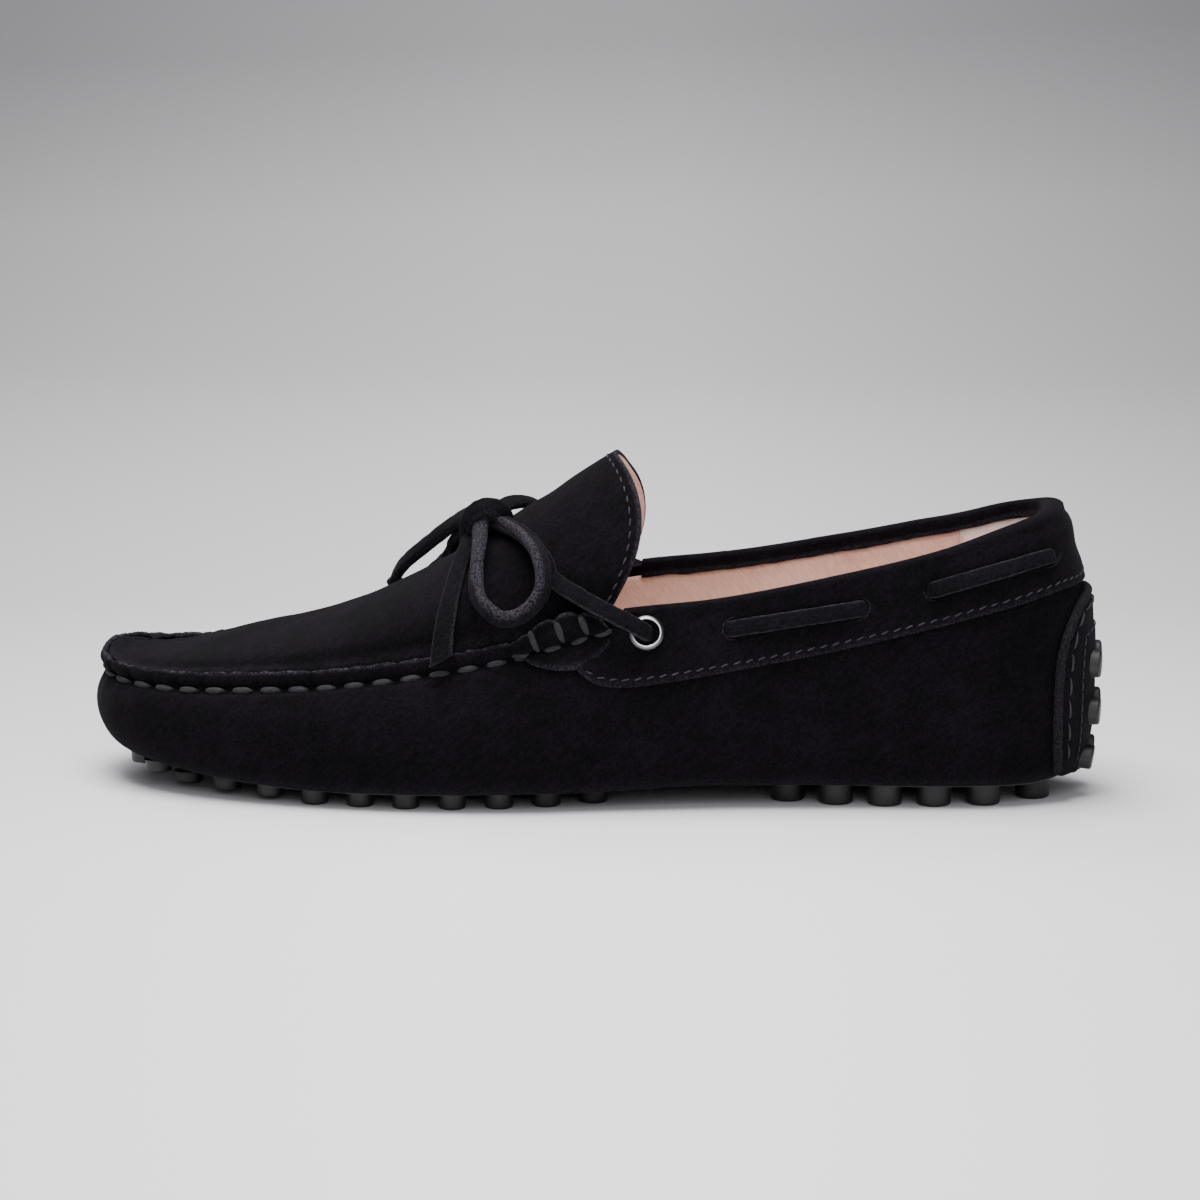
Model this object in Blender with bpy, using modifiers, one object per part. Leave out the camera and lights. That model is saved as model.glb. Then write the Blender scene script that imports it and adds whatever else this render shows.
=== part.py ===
"""Driving moccasin, the left shoe of a pair, in suede on a studded rubber sole.

Metres, +Z up. The shoe stands on z = 0 with its toe towards -X, the outer side of
the foot at -Y and the inner side at +Y. A station is a place round the shoe: 0 is
the toe tip, 14 is the back of the heel, minus is the outer side, plus the inner one.
"""

import math

import bmesh
import bpy
from mathutils import Matrix, Vector

MILLIMETRE = 0.001

# Main sizes
LENGTH = 0.288
BALL_WIDTH = 0.100
COLLAR_HEIGHT = 0.083
TONGUE_HEIGHT = 0.0965
TOE_SPRING = 0.006
FORE_STUD_DROP = 0.0032
HEEL_STUD_DROP = 0.0050

# Walls and layers
WALL = 0.0020
APRON_WALL = 0.0020
BAND_WALL = 0.0012
PATCH_WALL = 0.0012
PLATE_WALL = 0.0008
TAB_WALL = 0.0018
INSOLE_WALL = 0.0025
FIT = 0.0003
SEAT_GAP = 0.0006

# Moccasin seam and collar
RIDGE_HEIGHT = 0.0044
RIDGE_BULGE = 0.0006
APRON_DROP = 0.0010
TONGUE_FLARE = 0.0095
HEM_DEPTH = 0.0050

# Studs
STUD_RADIUS = 0.0042
STUD_TIP_RADIUS = 0.0037
STUD_PITCH = 0.0127
HEEL_STUD_PITCH = 0.0138
BACK_STUD_PITCH = 0.0135
BACK_STUD_REACH = 0.0024
STUD_SIDES = 8
STUD_EDGE = 0.0004
STUD_CROWDING = 1.0

# Eyelets and lace
EYELET_HOLE_RADIUS = 0.0034
EYELET_RADIUS = 0.0050
EYELET_LIP = 0.0009
EYELET_SEAT = 0.0009
EYELET_BARREL_WALL = 0.0005
LACE_RADIUS = 0.0021

HEEL_STATION = 14
THROAT_STATION = 7.95
FRONT_X = -LENGTH / 2
UPPER_LENGTH = LENGTH - BACK_STUD_REACH - PATCH_WALL - PLATE_WALL - 2 * FIT

# One row for each station from the toe tip to the back of the heel. Lengths are
# shares of UPPER_LENGTH, widths of BALL_WIDTH, heights of COLLAR_HEIGHT. The girth is
# the widest line, the edge is the top of the seam ridge and then the topline, the
# tuck is how far the flat underside lies inside the girth, and the lean is how much
# the wall turns inwards below the edge.
# girth: length, outer, inner, height | edge: length, outer, inner, height outer, inner
# | tuck outer, inner | lean | ridge
SIDE_ROWS = (
    (0.000, -0.06, 0.06, 0.270, 0.013, -0.06, 0.06, 0.463, 0.463, 0.100, 0.100, 0.35, 1.0),
    (0.012, 0.10, 0.21, 0.265, 0.023, 0.08, 0.18, 0.453, 0.458, 0.100, 0.100, 0.40, 1.0),
    (0.040, 0.22, 0.32, 0.252, 0.048, 0.17, 0.265, 0.443, 0.453, 0.090, 0.090, 0.55, 1.0),
    (0.088, 0.325, 0.41, 0.242, 0.093, 0.26, 0.335, 0.440, 0.455, 0.065, 0.065, 0.65, 1.0),
    (0.155, 0.41, 0.47, 0.235, 0.157, 0.335, 0.385, 0.446, 0.464, 0.045, 0.050, 0.70, 1.0),
    (0.242, 0.47, 0.50, 0.232, 0.242, 0.385, 0.405, 0.463, 0.480, 0.035, 0.045, 0.70, 1.0),
    (0.340, 0.50, 0.48, 0.235, 0.340, 0.410, 0.385, 0.512, 0.528, 0.030, 0.050, 0.65, 1.0),
    (0.440, 0.49, 0.425, 0.245, 0.438, 0.405, 0.345, 0.578, 0.590, 0.040, 0.080, 0.50, 1.0),
    (0.537, 0.445, 0.370, 0.255, 0.532, 0.380, 0.318, 0.663, 0.672, 0.055, 0.110, 0.30, 0.8),
    (0.640, 0.390, 0.340, 0.270, 0.640, 0.350, 0.302, 0.706, 0.712, 0.060, 0.110, 0.18, 0.5),
    (0.750, 0.355, 0.333, 0.290, 0.750, 0.325, 0.296, 0.780, 0.782, 0.058, 0.080, 0.15, 0.5),
    (0.860, 0.335, 0.325, 0.315, 0.855, 0.292, 0.282, 0.867, 0.868, 0.050, 0.055, 0.20, 0.5),
    (0.940, 0.285, 0.280, 0.335, 0.926, 0.235, 0.232, 0.952, 0.952, 0.050, 0.050, 0.30, 0.5),
    (0.985, 0.165, 0.165, 0.350, 0.960, 0.130, 0.130, 0.988, 0.988, 0.055, 0.055, 0.35, 0.5),
    (1.000, 0.000, 0.000, 0.360, 0.968, 0.000, 0.000, 1.000, 1.000, 0.060, 0.060, 0.35, 0.5),
)

# Rise of the underside towards the toe: length, share of TOE_SPRING
SPRING_ROWS = (
    (0.000, 1.10),
    (0.040, 0.92),
    (0.065, 0.77),
    (0.105, 0.58),
    (0.145, 0.38),
    (0.190, 0.19),
    (0.235, 0.06),
    (0.290, 0.00),
    (1.000, 0.00),
)

# Blend of the underside from the forefoot's stud drop to the heel's: length, share
ARCH_ROWS = ((0.000, 0.0), (0.500, 0.0), (0.560, 0.5), (0.620, 1.0), (1.000, 1.0))

# Crown of the apron and tongue: length, share of TONGUE_HEIGHT
CROWN_ROWS = (
    (0.013, 0.389),
    (0.050, 0.393),
    (0.092, 0.410),
    (0.141, 0.441),
    (0.190, 0.470),
    (0.237, 0.508),
    (0.286, 0.562),
    (0.331, 0.624),
    (0.377, 0.704),
    (0.422, 0.795),
    (0.479, 0.907),
    (0.532, 1.000),
)

# Lower edge of the collar band: length, share of COLLAR_HEIGHT
BAND_FOOT_ROWS = (
    (0.499, 0.500),
    (0.508, 0.472),
    (0.520, 0.445),
    (0.535, 0.434),
    (0.560, 0.434),
    (0.617, 0.462),
    (0.732, 0.536),
    (0.836, 0.616),
    (0.926, 0.694),
    (0.972, 0.738),
    (1.000, 0.748),
)
BAND_START = 7.66
BAND_HEM_START = 8.13
BAND_LEVELS = 3

# Front of the band under the seam tab: length, share of COLLAR_HEIGHT of its top
BAND_FRONT_ROWS = (
    (0.499, 0.506),
    (0.512, 0.522),
    (0.524, 0.550),
    (0.534, 0.600),
    (0.545, 0.668),
)

# Seam tab: centre and half sizes as shares of UPPER_LENGTH and COLLAR_HEIGHT
TAB_CENTRE = (0.491, 0.588)
TAB_HALF = (0.041, 0.088)
TAB_TILT = 0.45

# Eyelet centre: share of UPPER_LENGTH, share of COLLAR_HEIGHT
EYELET_PLACE = (0.568, 0.607)

# Lace bars on the band: two rows of length and height for each bar
BAR_ROWS = {
    "front": ((0.650, 0.622), (0.700, 0.650), (0.745, 0.675), (0.787, 0.698)),
    "rear": ((0.850, 0.757), (0.887, 0.790), (0.922, 0.825), (0.952, 0.857)),
}

# Tied lace over the apron, in millimetres: each length starts at the knot but for the
# strands, which start in the eyelets
KNOT_CENTRE = (-32.3, -2.3, 77.3)
KNOT_NORMAL = (-0.59, -0.10, 0.80)
KNOT_RADII = (6.4, 6.6, 4.4)
LACE_ROUTES = {
    "lace_strand_outer": (
        (16.9, -40.4, 51.1),
        (16.2, -43.3, 52.2),
        (12.5, -44.8, 54.3),
        (6.0, -44.0, 57.3),
        (-2.0, -40.6, 60.9),
        (-10.0, -36.4, 65.4),
        (-18.6, -30.3, 71.3),
        (-25.3, -21.0, 75.0),
        (-27.9, -14.0, 76.3),
        (-29.2, -10.8, 76.5),
    ),
    "lace_strand_inner": (
        (16.8, 34.8, 51.1),
        (16.3, 37.7, 52.2),
        (12.0, 39.0, 54.6),
        (5.0, 38.6, 58.8),
        (-2.0, 34.8, 64.2),
        (-9.0, 29.2, 69.3),
        (-15.5, 21.9, 75.9),
        (-21.5, 12.7, 79.7),
        (-27.0, 4.6, 80.4),
    ),
    "lace_loop_outer": (
        (-30.2, -10.4, 81.4),
        (-24.0, -20.0, 81.6),
        (-17.0, -31.0, 78.0),
        (-12.0, -39.5, 72.0),
        (-11.0, -44.0, 64.0),
        (-15.5, -45.6, 56.5),
        (-22.5, -45.6, 54.0),
        (-29.5, -43.2, 57.5),
        (-32.5, -37.7, 64.0),
        (-33.7, -27.0, 71.6),
        (-35.2, -16.8, 77.0),
        (-36.2, -11.4, 79.2),
    ),
    "lace_loop_inner": (
        (-37.2, 3.6, 80.6),
        (-42.0, 10.0, 74.0),
        (-49.0, 18.0, 66.4),
        (-55.0, 26.0, 59.4),
        (-59.5, 33.5, 53.6),
        (-60.0, 39.0, 49.6),
        (-54.0, 40.0, 49.8),
        (-47.5, 37.0, 54.5),
        (-42.0, 30.0, 61.6),
        (-37.6, 20.6, 69.4),
        (-34.6, 11.6, 76.4),
        (-34.2, 7.9, 79.4),
    ),
    "lace_end_outer": (
        (-36.6, -9.0, 74.4),
        (-37.4, -16.8, 70.4),
        (-38.3, -26.9, 64.0),
        (-39.6, -36.4, 57.4),
        (-41.0, -42.2, 50.0),
        (-42.5, -44.9, 43.0),
    ),
    "lace_end_inner": (
        (-29.4, 6.8, 76.2),
        (-29.6, 16.0, 74.0),
        (-31.0, 26.2, 67.4),
        (-32.5, 33.0, 58.0),
        (-34.0, 39.0, 50.4),
        (-35.0, 41.4, 43.0),
    ),
}

# Heel patch: share of COLLAR_HEIGHT and half width in stations, from the bottom up
PATCH_ROWS = (
    (0.090, 1.50),
    (0.115, 1.58),
    (0.145, 1.65),
    (0.180, 1.70),
    (0.230, 1.75),
    (0.300, 1.78),
    (0.380, 1.78),
    (0.460, 1.75),
    (0.540, 1.66),
    (0.600, 1.48),
    (0.650, 1.20),
    (0.690, 0.80),
    (0.712, 0.35),
)
# Share of the patch's half width that the stud plate has, and how many of its rows
PLATE_SHARE = 0.72
PLATE_ROWS = 9
BACK_STUD_ROWS = 3
BACK_STUD_COLUMNS = 2
BACK_STUD_STEP = 0.82
BACK_STUD_LOW = 0.0122

# Stud units of the sole: first and last station, share of the width, first row
FORE_UNIT = {"stations": (0.80, 8.40), "share": 0.985, "first": 0.063, "rows": 11}
HEEL_UNIT = {"stations": (9.25, 13.80), "share": 0.985, "first": 0.705, "rows": 6}


def clear_scene():
    for thing in list(bpy.data.objects):
        bpy.data.objects.remove(thing, do_unlink=True)


def hermite(p0, p1, m0, m1, f):
    """Cubic between two values with the slopes given over the unit step."""
    f2 = f * f
    f3 = f2 * f
    return (
        (2 * f3 - 3 * f2 + 1) * p0
        + (f3 - 2 * f2 + f) * m0
        + (3 * f2 - 2 * f3) * p1
        + (f3 - f2) * m1
    )


def read_rows(rows, at):
    """Smooth value of a two-column table, held level past its ends."""
    if at <= rows[0][0]:
        return rows[0][1]
    if at >= rows[-1][0]:
        return rows[-1][1]
    k = next(n for n in range(len(rows) - 1) if at <= rows[n + 1][0])

    def slope(n):
        low = rows[max(n - 1, 0)]
        high = rows[min(n + 1, len(rows) - 1)]
        return (high[1] - low[1]) / (high[0] - low[0])

    step = rows[k + 1][0] - rows[k][0]
    share = (at - rows[k][0]) / step
    return hermite(rows[k][1], rows[k + 1][1], slope(k) * step, slope(k + 1) * step, share)


def station_row(index):
    """Columns of one station on its own side: girth, edge, tuck, lean and ridge."""
    turn = (index + HEEL_STATION) % (2 * HEEL_STATION) - HEEL_STATION
    row = SIDE_ROWS[abs(turn)]
    if turn < 0:
        return (row[0], -row[1], row[3], row[4], -row[5], row[7], row[9], row[11], row[12])
    return (row[0], row[2], row[3], row[4], row[6], row[8], row[10], row[11], row[12])


def ring(station):
    """Smooth values of all columns at any station round the shoe."""
    low = math.floor(station)
    share = station - low
    rows = [station_row(low + k) for k in (-1, 0, 1, 2)]
    return [
        hermite(b, c, (c - a) / 2, (d - b) / 2, share) for a, b, c, d in zip(*rows)
    ]


def along(share):
    return FRONT_X + share * UPPER_LENGTH


def underside(x):
    """Height of the flat underside of the upper above the floor."""
    share = (x - FRONT_X) / UPPER_LENGTH
    drop = FORE_STUD_DROP + (HEEL_STUD_DROP - FORE_STUD_DROP) * read_rows(ARCH_ROWS, share)
    return drop + TOE_SPRING * read_rows(SPRING_ROWS, share)


def girth_point(station):
    row = ring(station)
    return Vector((along(row[0]), row[1] * BALL_WIDTH, row[2] * COLLAR_HEIGHT))


def edge_point(station):
    row = ring(station)
    return Vector((along(row[3]), row[4] * BALL_WIDTH, row[5] * COLLAR_HEIGHT))


def inward(station, point_of):
    """Level unit vector towards the inside of the shoe from one of its lines."""
    step = 0.05
    run = point_of(station + step) - point_of(station - step)
    return Vector((run.y, -run.x, 0)).normalized()


def sole_edge(station):
    """Edge of the flat underside."""
    point = girth_point(station) + inward(station, girth_point) * ring(station)[6] * BALL_WIDTH
    return Vector((point.x, point.y, underside(point.x)))


def wall_curve(station, low_steps=3, high_steps=4):
    """Outer face of the upper from the edge of the underside up to the topline."""
    row = ring(station)
    foot = sole_edge(station)
    girth = girth_point(station)
    edge = edge_point(station)
    into = inward(station, edge_point)
    points = []
    for k in range(low_steps):
        angle = math.pi / 2 * k / low_steps
        flat = foot.lerp(girth, math.sin(angle))
        flat.z = foot.z + (girth.z - foot.z) * (1 - math.cos(angle))
        points.append(flat)
    ridge_foot = edge - Vector((0, 0, RIDGE_HEIGHT * row[8]))
    rise = ridge_foot.z - girth.z
    lean = (into * row[7] + Vector((0, 0, 1 - row[7]))).normalized()
    first = girth + Vector((0, 0, 0.45 * rise))
    second = ridge_foot - lean * 0.40 * rise
    for k in range(high_steps + 1):
        f = k / high_steps
        g = 1 - f
        points.append(
            girth * g**3 + first * 3 * g * g * f + second * 3 * g * f * f + ridge_foot * f**3
        )
    bulge = RIDGE_BULGE * max(0.0, 2 * row[8] - 1)
    points.append(ridge_foot.lerp(edge, 0.45) - into * bulge)
    points.append(edge)
    return points


def wall_at(station, height):
    """Point of the outer face at one height."""
    points = wall_curve(station, 8, 16)
    for low, high in zip(points, points[1:]):
        if height <= high.z:
            return low.lerp(high, (height - low.z) / (high.z - low.z))
    return points[-1]


def outward(station, height):
    """Unit vector out of the outer face at one height."""
    step = 0.04
    rise = 0.0015
    run = wall_at(station + step, height) - wall_at(station - step, height)
    climb = wall_at(station, height + rise) - wall_at(station, height - rise)
    return climb.cross(run).normalized()


def station_at(side, x, height):
    """Station on one side whose outer face has this x at this height."""
    low, high = 1.0, HEEL_STATION - 0.001
    for _ in range(40):
        middle = (low + high) / 2
        if wall_at(side * middle, height).x < x:
            low = middle
        else:
            high = middle
    return side * low


def over_wall(station, height, distance):
    return wall_at(station, height) + outward(station, height) * distance


def apron_point(station, turn):
    """Outer face of the apron and tongue; turn is -1 at the outer seam, +1 at the inner."""
    sides = []
    for side in (-1, 1):
        base = edge_point(side * station)
        base += inward(side * station, edge_point) * (WALL + FIT)
        base.z -= APRON_DROP
        sides.append(base)
    outer, inner = sides
    share = (turn + 1) / 2
    angle = turn * math.pi / 2
    middle = (outer + inner) / 2
    x = middle.x + (inner.x - outer.x) / 2 * turn
    y = middle.y + (inner.y - outer.y) / 2 * math.sin(angle)
    low = outer.z + (inner.z - outer.z) * share
    crown = TONGUE_HEIGHT * read_rows(CROWN_ROWS, (middle.x - FRONT_X) / UPPER_LENGTH)
    z = low + (crown - low) * math.cos(angle)
    flare = max(0.0, (station - 6.2) / (THROAT_STATION - 6.2)) ** 1.6
    x += flare * TONGUE_FLARE * math.sin(math.pi * min(abs(turn), 1.0) ** 1.8)
    return Vector((x, y, z))


def floor_point(station, turn):
    """Point of the flat underside; turn runs from -1 to +1 across it."""
    outer = sole_edge(-station)
    inner = sole_edge(station)
    point = outer.lerp(inner, (turn + 1) / 2)
    point.z = underside(point.x)
    return point


def make_material(name, colour, roughness, metallic=0.0):
    material = bpy.data.materials.new(name)
    material.use_nodes = True
    shader = material.node_tree.nodes["Principled BSDF"]
    shader.inputs["Base Color"].default_value = (*colour, 1)
    shader.inputs["Roughness"].default_value = roughness
    shader.inputs["Metallic"].default_value = metallic
    material.diffuse_color = (*colour, 1)
    return material


def add_mesh(name, collection, material, points, faces):
    """Mesh object from points and faces, smooth but for its sharp corners."""
    mesh = bpy.data.meshes.new(name)
    mesh.from_pydata([tuple(point) for point in points], [], faces)
    mesh.validate()
    if material:
        mesh.materials.append(material)
    mesh.shade_smooth()
    mesh.set_sharp_from_angle(angle=math.radians(40))
    thing = bpy.data.objects.new(name, mesh)
    collection.objects.link(thing)
    return thing


def ladder(rows):
    """Points and faces of a grid; a row of one point closes the end as a fan."""
    points = []
    starts = []
    for row in rows:
        starts.append(len(points))
        points.extend(row)
    faces = []
    for k in range(len(rows) - 1):
        a, b = starts[k], starts[k + 1]
        count_a, count_b = len(rows[k]), len(rows[k + 1])
        for j in range(max(count_a, count_b) - 1):
            if count_a == 1:
                faces.append((a, b + j + 1, b + j))
            elif count_b == 1:
                faces.append((a + j, a + j + 1, b))
            else:
                faces.append((a + j, a + j + 1, b + j + 1, b + j))
    return points, faces


def turn_faces_out(mesh):
    work = bmesh.new()
    work.from_mesh(mesh)
    bmesh.ops.recalc_face_normals(work, faces=work.faces)
    work.to_mesh(mesh)
    work.free()


def add_slab(name, collection, material, rows, lower, upper):
    """Closed slab between two faces of one grid, offset straight up."""
    points, faces = ladder(rows)
    count = len(points)
    rim = {}
    for face in faces:
        for a, b in zip(face, face[1:] + face[:1]):
            if (b, a) in rim:
                del rim[(b, a)]
            else:
                rim[(a, b)] = True
    low = [point + Vector((0, 0, lower)) for point in points]
    high = [point + Vector((0, 0, upper)) for point in points]
    sides = [(a, b, b + count, a + count) for a, b in rim]
    tops = [tuple(n + count for n in face) for face in faces]
    bottoms = [tuple(reversed(face)) for face in faces]
    thing = add_mesh(name, collection, material, low + high, bottoms + sides + tops)
    turn_faces_out(thing.data)
    return thing


def add_shell(thing, thickness):
    """Wall grown from an open surface, inwards for a minus sign."""
    shell = thing.modifiers.new("Wall", "SOLIDIFY")
    shell.thickness = abs(thickness)
    shell.offset = -1 if thickness < 0 else 1
    shell.use_even_offset = True
    shell.use_quality_normals = True
    return shell


def cut(thing, cutter):
    difference = thing.modifiers.new("Cut", "BOOLEAN")
    difference.operation = "DIFFERENCE"
    difference.solver = "EXACT"
    difference.object = cutter


def join_on(thing, tool):
    union = thing.modifiers.new("Join", "BOOLEAN")
    union.operation = "UNION"
    union.solver = "EXACT"
    union.object = tool


def hide_cutter(cutter):
    cutter.hide_render = True
    cutter.display_type = "WIRE"


def unit_rows(unit, count=12, across=6):
    """Grid of a stud unit on the underside, with rounded ends."""
    first, last = unit["stations"]
    middle = (first + last) / 2
    half = (last - first) / 2
    rows = []
    for k in range(count + 1):
        angle = math.radians(14 + (180 - 28) * k / count)
        station = middle - half * math.copysign(abs(math.cos(angle)) ** 0.6, math.cos(angle))
        share = unit["share"] * math.sin(angle) ** 0.45
        rows.append(
            [floor_point(station, share * (2 * j / across - 1)) for j in range(across + 1)]
        )
    return rows


def outline_of(rows, grow):
    """Plan outline of a grid, moved outwards."""
    loop = [row[0] for row in rows] + rows[-1][1:-1]
    loop += [row[-1] for row in reversed(rows)] + rows[0][-2:0:-1]
    count = len(loop)
    moved = []
    for k in range(count):
        before = (loop[k] - loop[k - 1]).to_2d().normalized()
        after = (loop[(k + 1) % count] - loop[k]).to_2d().normalized()
        way = before + after
        normal = Vector((way.y, -way.x)).normalized()
        spread = grow / max(0.5, math.sqrt((1 + before.dot(after)) / 2))
        moved.append(loop[k].to_2d() + normal * spread)
    area = sum(a.x * b.y - b.x * a.y for a, b in zip(moved, moved[1:] + moved[:1]))
    return moved if area > 0 else list(reversed(moved))


def add_prism(name, collection, outline, low, high):
    """Upright prism over a plan outline."""
    count = len(outline)
    points = [Vector((p.x, p.y, low)) for p in outline]
    points += [Vector((p.x, p.y, high)) for p in outline]
    faces = [tuple(reversed(range(count))), tuple(range(count, 2 * count))]
    faces += [(k, (k + 1) % count, (k + 1) % count + count, k + count) for k in range(count)]
    thing = add_mesh(name, collection, None, points, faces)
    hide_cutter(thing)
    return thing


def make_upper(parts, cutters, suede):
    """Hollow suede body with its underside open over the two stud units."""
    stations = [k * HEEL_STATION / 28 for k in range(-27, 29)]
    curves = [wall_curve(station) for station in stations]
    levels = len(curves[0])
    count = len(curves)
    points = [point for curve in curves for point in curve]
    faces = []
    for k in range(count):
        a, b = k * levels, (k + 1) % count * levels
        for j in range(levels - 1):
            faces.append((a + j, b + j, b + j + 1, a + j + 1))
    toe = stations.index(0.0)
    heel = count - 1
    across = 4
    last = [toe * levels]
    for k in range(1, count // 2):
        outer, inner = (toe - k) * levels, (toe + k) * levels
        start = len(points)
        for j in range(1, across):
            points.append(floor_point(stations[toe + k], 2 * j / across - 1))
        row = [outer, *range(start, start + across - 1), inner]
        if len(last) == 1:
            faces += [(last[0], row[j + 1], row[j]) for j in range(across)]
        else:
            faces += [(last[j], last[j + 1], row[j + 1], row[j]) for j in range(across)]
        last = row
    tip = heel * levels
    faces += [(last[j], last[j + 1], tip) for j in range(across)]
    upper = add_mesh("upper", parts, suede, points, faces)
    turn_faces_out(upper.data)
    add_shell(upper, -WALL)
    for name, unit in (("fore", FORE_UNIT), ("heel", HEEL_UNIT)):
        window = outline_of(unit_rows(unit), FIT)
        top = max(underside(p.x) for p in window) + 2 * WALL
        cut(upper, add_prism("window_" + name, cutters, window, -WALL, top))
    return upper


def add_studs(name, collection, places):
    """Studs pointing down, each from inside its plate to its own lower face."""
    work = bmesh.new()
    for place, height in places:
        bmesh.ops.create_cone(
            work,
            cap_ends=True,
            segments=STUD_SIDES,
            radius1=STUD_TIP_RADIUS,
            radius2=STUD_RADIUS,
            depth=height,
            matrix=Matrix.Translation(place + Vector((0, 0, height / 2))),
        )
    mesh = bpy.data.meshes.new(name)
    work.to_mesh(mesh)
    work.free()
    studs = bpy.data.objects.new(name, mesh)
    collection.objects.link(studs)
    hide_cutter(studs)
    return studs


def span_at(outline, x):
    """Least and greatest y of a plan outline at one x, or None past its ends."""
    crossings = []
    for a, b in zip(outline, outline[1:] + outline[:1]):
        if (a.x - x) * (b.x - x) < 0:
            crossings.append(a.y + (b.y - a.y) * (x - a.x) / (b.x - a.x))
    return (min(crossings), max(crossings)) if crossings else None


def stud_places(unit, pitch):
    """Centres of the studs' lower faces and the height of each stud."""
    margin = STUD_RADIUS + STUD_EDGE
    outline = outline_of(unit_rows(unit), 0)
    places = []
    for k in range(unit["rows"]):
        x = along(unit["first"]) + k * pitch
        spans = [span_at(outline, x + reach) for reach in (-margin, 0, margin)]
        if None in spans:
            continue
        low = max(span[0] for span in spans) + margin
        high = min(span[1] for span in spans) - margin
        number = int((high - low) / (STUD_CROWDING * STUD_PITCH)) + 1
        top = underside(x)
        foot = 0.0 if unit is HEEL_UNIT else max(0.0, top - FORE_STUD_DROP)
        for j in range(number):
            y = low + (high - low) * j / max(1, number - 1)
            places.append((Vector((x, y, foot)), top + WALL / 2 - foot))
    return places


def make_sole(parts, cutters, rubber):
    """Two rubber plates flush in the upper's windows, with their studs."""
    for name, unit, pitch in (
        ("sole_forefoot", FORE_UNIT, STUD_PITCH),
        ("sole_heel", HEEL_UNIT, HEEL_STUD_PITCH),
    ):
        plate = add_slab(name, parts, rubber, unit_rows(unit), 0, WALL)
        studs = add_studs(name + "_studs", cutters, stud_places(unit, pitch))
        join_on(plate, studs)


def make_insole(parts, leather):
    rows = []
    for k in range(15):
        station = 0.75 + (HEEL_STATION - 1.2) * k / 14
        share = 0.93 * math.sin(math.pi * min(1.0, 0.30 + k / 2, 0.30 + (14 - k) / 2) / 2)
        rows.append([floor_point(station, share * (j / 2 - 1)) for j in range(5)])
    add_slab("insole", parts, leather, rows, WALL + SEAT_GAP, WALL + SEAT_GAP + INSOLE_WALL)


def make_apron(parts, suede):
    """Plug of the moccasin seam and the tongue in one piece."""
    stations = [0.35, 0.7, 1.1, 1.6, 2.2, 2.8, 3.5, 4.2, 5.0, 5.7, 6.3, 6.8, 7.2, 7.6]
    stations.append(THROAT_STATION)
    rows = [[apron_point(0.0, 0)]]
    across = 12
    for station in stations:
        rows.append([apron_point(station, 2 * j / across - 1) for j in range(across + 1)])
    points, faces = ladder(rows)
    apron = add_mesh("apron", parts, suede, points, faces)
    turn_faces_up(apron.data)
    add_shell(apron, -APRON_WALL)


def turn_faces_up(mesh):
    """Faces of an open sheet all turned the way that its middle looks up."""
    turn_faces_out(mesh)
    if sum(face.normal.z * face.area for face in mesh.polygons) < 0:
        mesh.flip_normals()


def band_section(station, foot, top, hem):
    """Section of the collar band: an outer leg, and a hem over the topline."""
    levels = [foot + (top - foot) * k / BAND_LEVELS for k in range(BAND_LEVELS + 1)]
    face = [over_wall(station, level, FIT + BAND_WALL) for level in levels]
    back = [over_wall(station, level, FIT) for level in reversed(levels)]
    if not hem:
        return face + back
    edge = edge_point(station)
    out = -inward(station, edge_point)
    up = Vector((0, 0, 1))
    cover = FIT + BAND_WALL
    inside = WALL + FIT
    fold = [
        edge + out * (cover - BAND_WALL / 4) + up * cover / 2,
        edge + out * (cover - WALL / 2) + up * cover,
        edge - out * (inside + BAND_WALL / 2) + up * cover,
        edge - out * (inside + BAND_WALL) - up * BAND_WALL / 2,
        edge - out * (inside + BAND_WALL) - up * HEM_DEPTH,
        edge - out * inside - up * HEM_DEPTH,
        edge - out * inside + up * FIT,
        edge + out * FIT + up * FIT,
    ]
    return face + fold + back


def make_band(parts, cutters, suede):
    """Folded suede topline from throat to throat round the heel."""
    back = [BAND_HEM_START] + [k / 2 for k in range(17, 2 * HEEL_STATION + 1)]
    front = [BAND_START, 7.76, 7.90, 8.02]
    turns = [-s for s in front + back] + [s for s in reversed(front + back[:-1])]
    sections = []
    for station in turns:
        hem = abs(station) >= BAND_HEM_START
        share = (girth_point(station).x - FRONT_X) / UPPER_LENGTH
        foot = read_rows(BAND_FOOT_ROWS, share) * COLLAR_HEIGHT
        if hem:
            top = edge_point(station).z - BAND_WALL / 2
        else:
            top = read_rows(BAND_FRONT_ROWS, share) * COLLAR_HEIGHT
        sections.append(band_section(station, foot, top, hem))
    points = []
    starts = []
    for section in sections:
        starts.append(len(points))
        points.extend(section)
    short_size = 2 * BAND_LEVELS + 2
    whole_size = len(sections[len(sections) // 2])
    whole = list(range(whole_size))
    short = list(range(short_size))
    leg = whole[: BAND_LEVELS + 1] + whole[whole_size - BAND_LEVELS - 1 :]
    faces = []
    for k in range(len(sections) - 1):
        a, b = len(sections[k]), len(sections[k + 1])
        loop_a = short if a == short_size else (whole if b == whole_size else leg)
        loop_b = short if b == short_size else (whole if a == whole_size else leg)
        for j in range(len(loop_a)):
            n = (j + 1) % len(loop_a)
            faces.append(
                (
                    starts[k] + loop_a[j],
                    starts[k] + loop_a[n],
                    starts[k + 1] + loop_b[n],
                    starts[k + 1] + loop_b[j],
                )
            )
        if a != b:
            start = starts[k] if a == whole_size else starts[k + 1]
            hem_end = whole[BAND_LEVELS : whole_size - BAND_LEVELS]
            faces.append(tuple(start + n for n in hem_end))
    faces.append(tuple(starts[0] + n for n in short))
    faces.append(tuple(starts[-1] + n for n in short))
    band = add_mesh("collar_band", parts, suede, points, faces)
    turn_faces_out(band.data)
    return band


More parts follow.
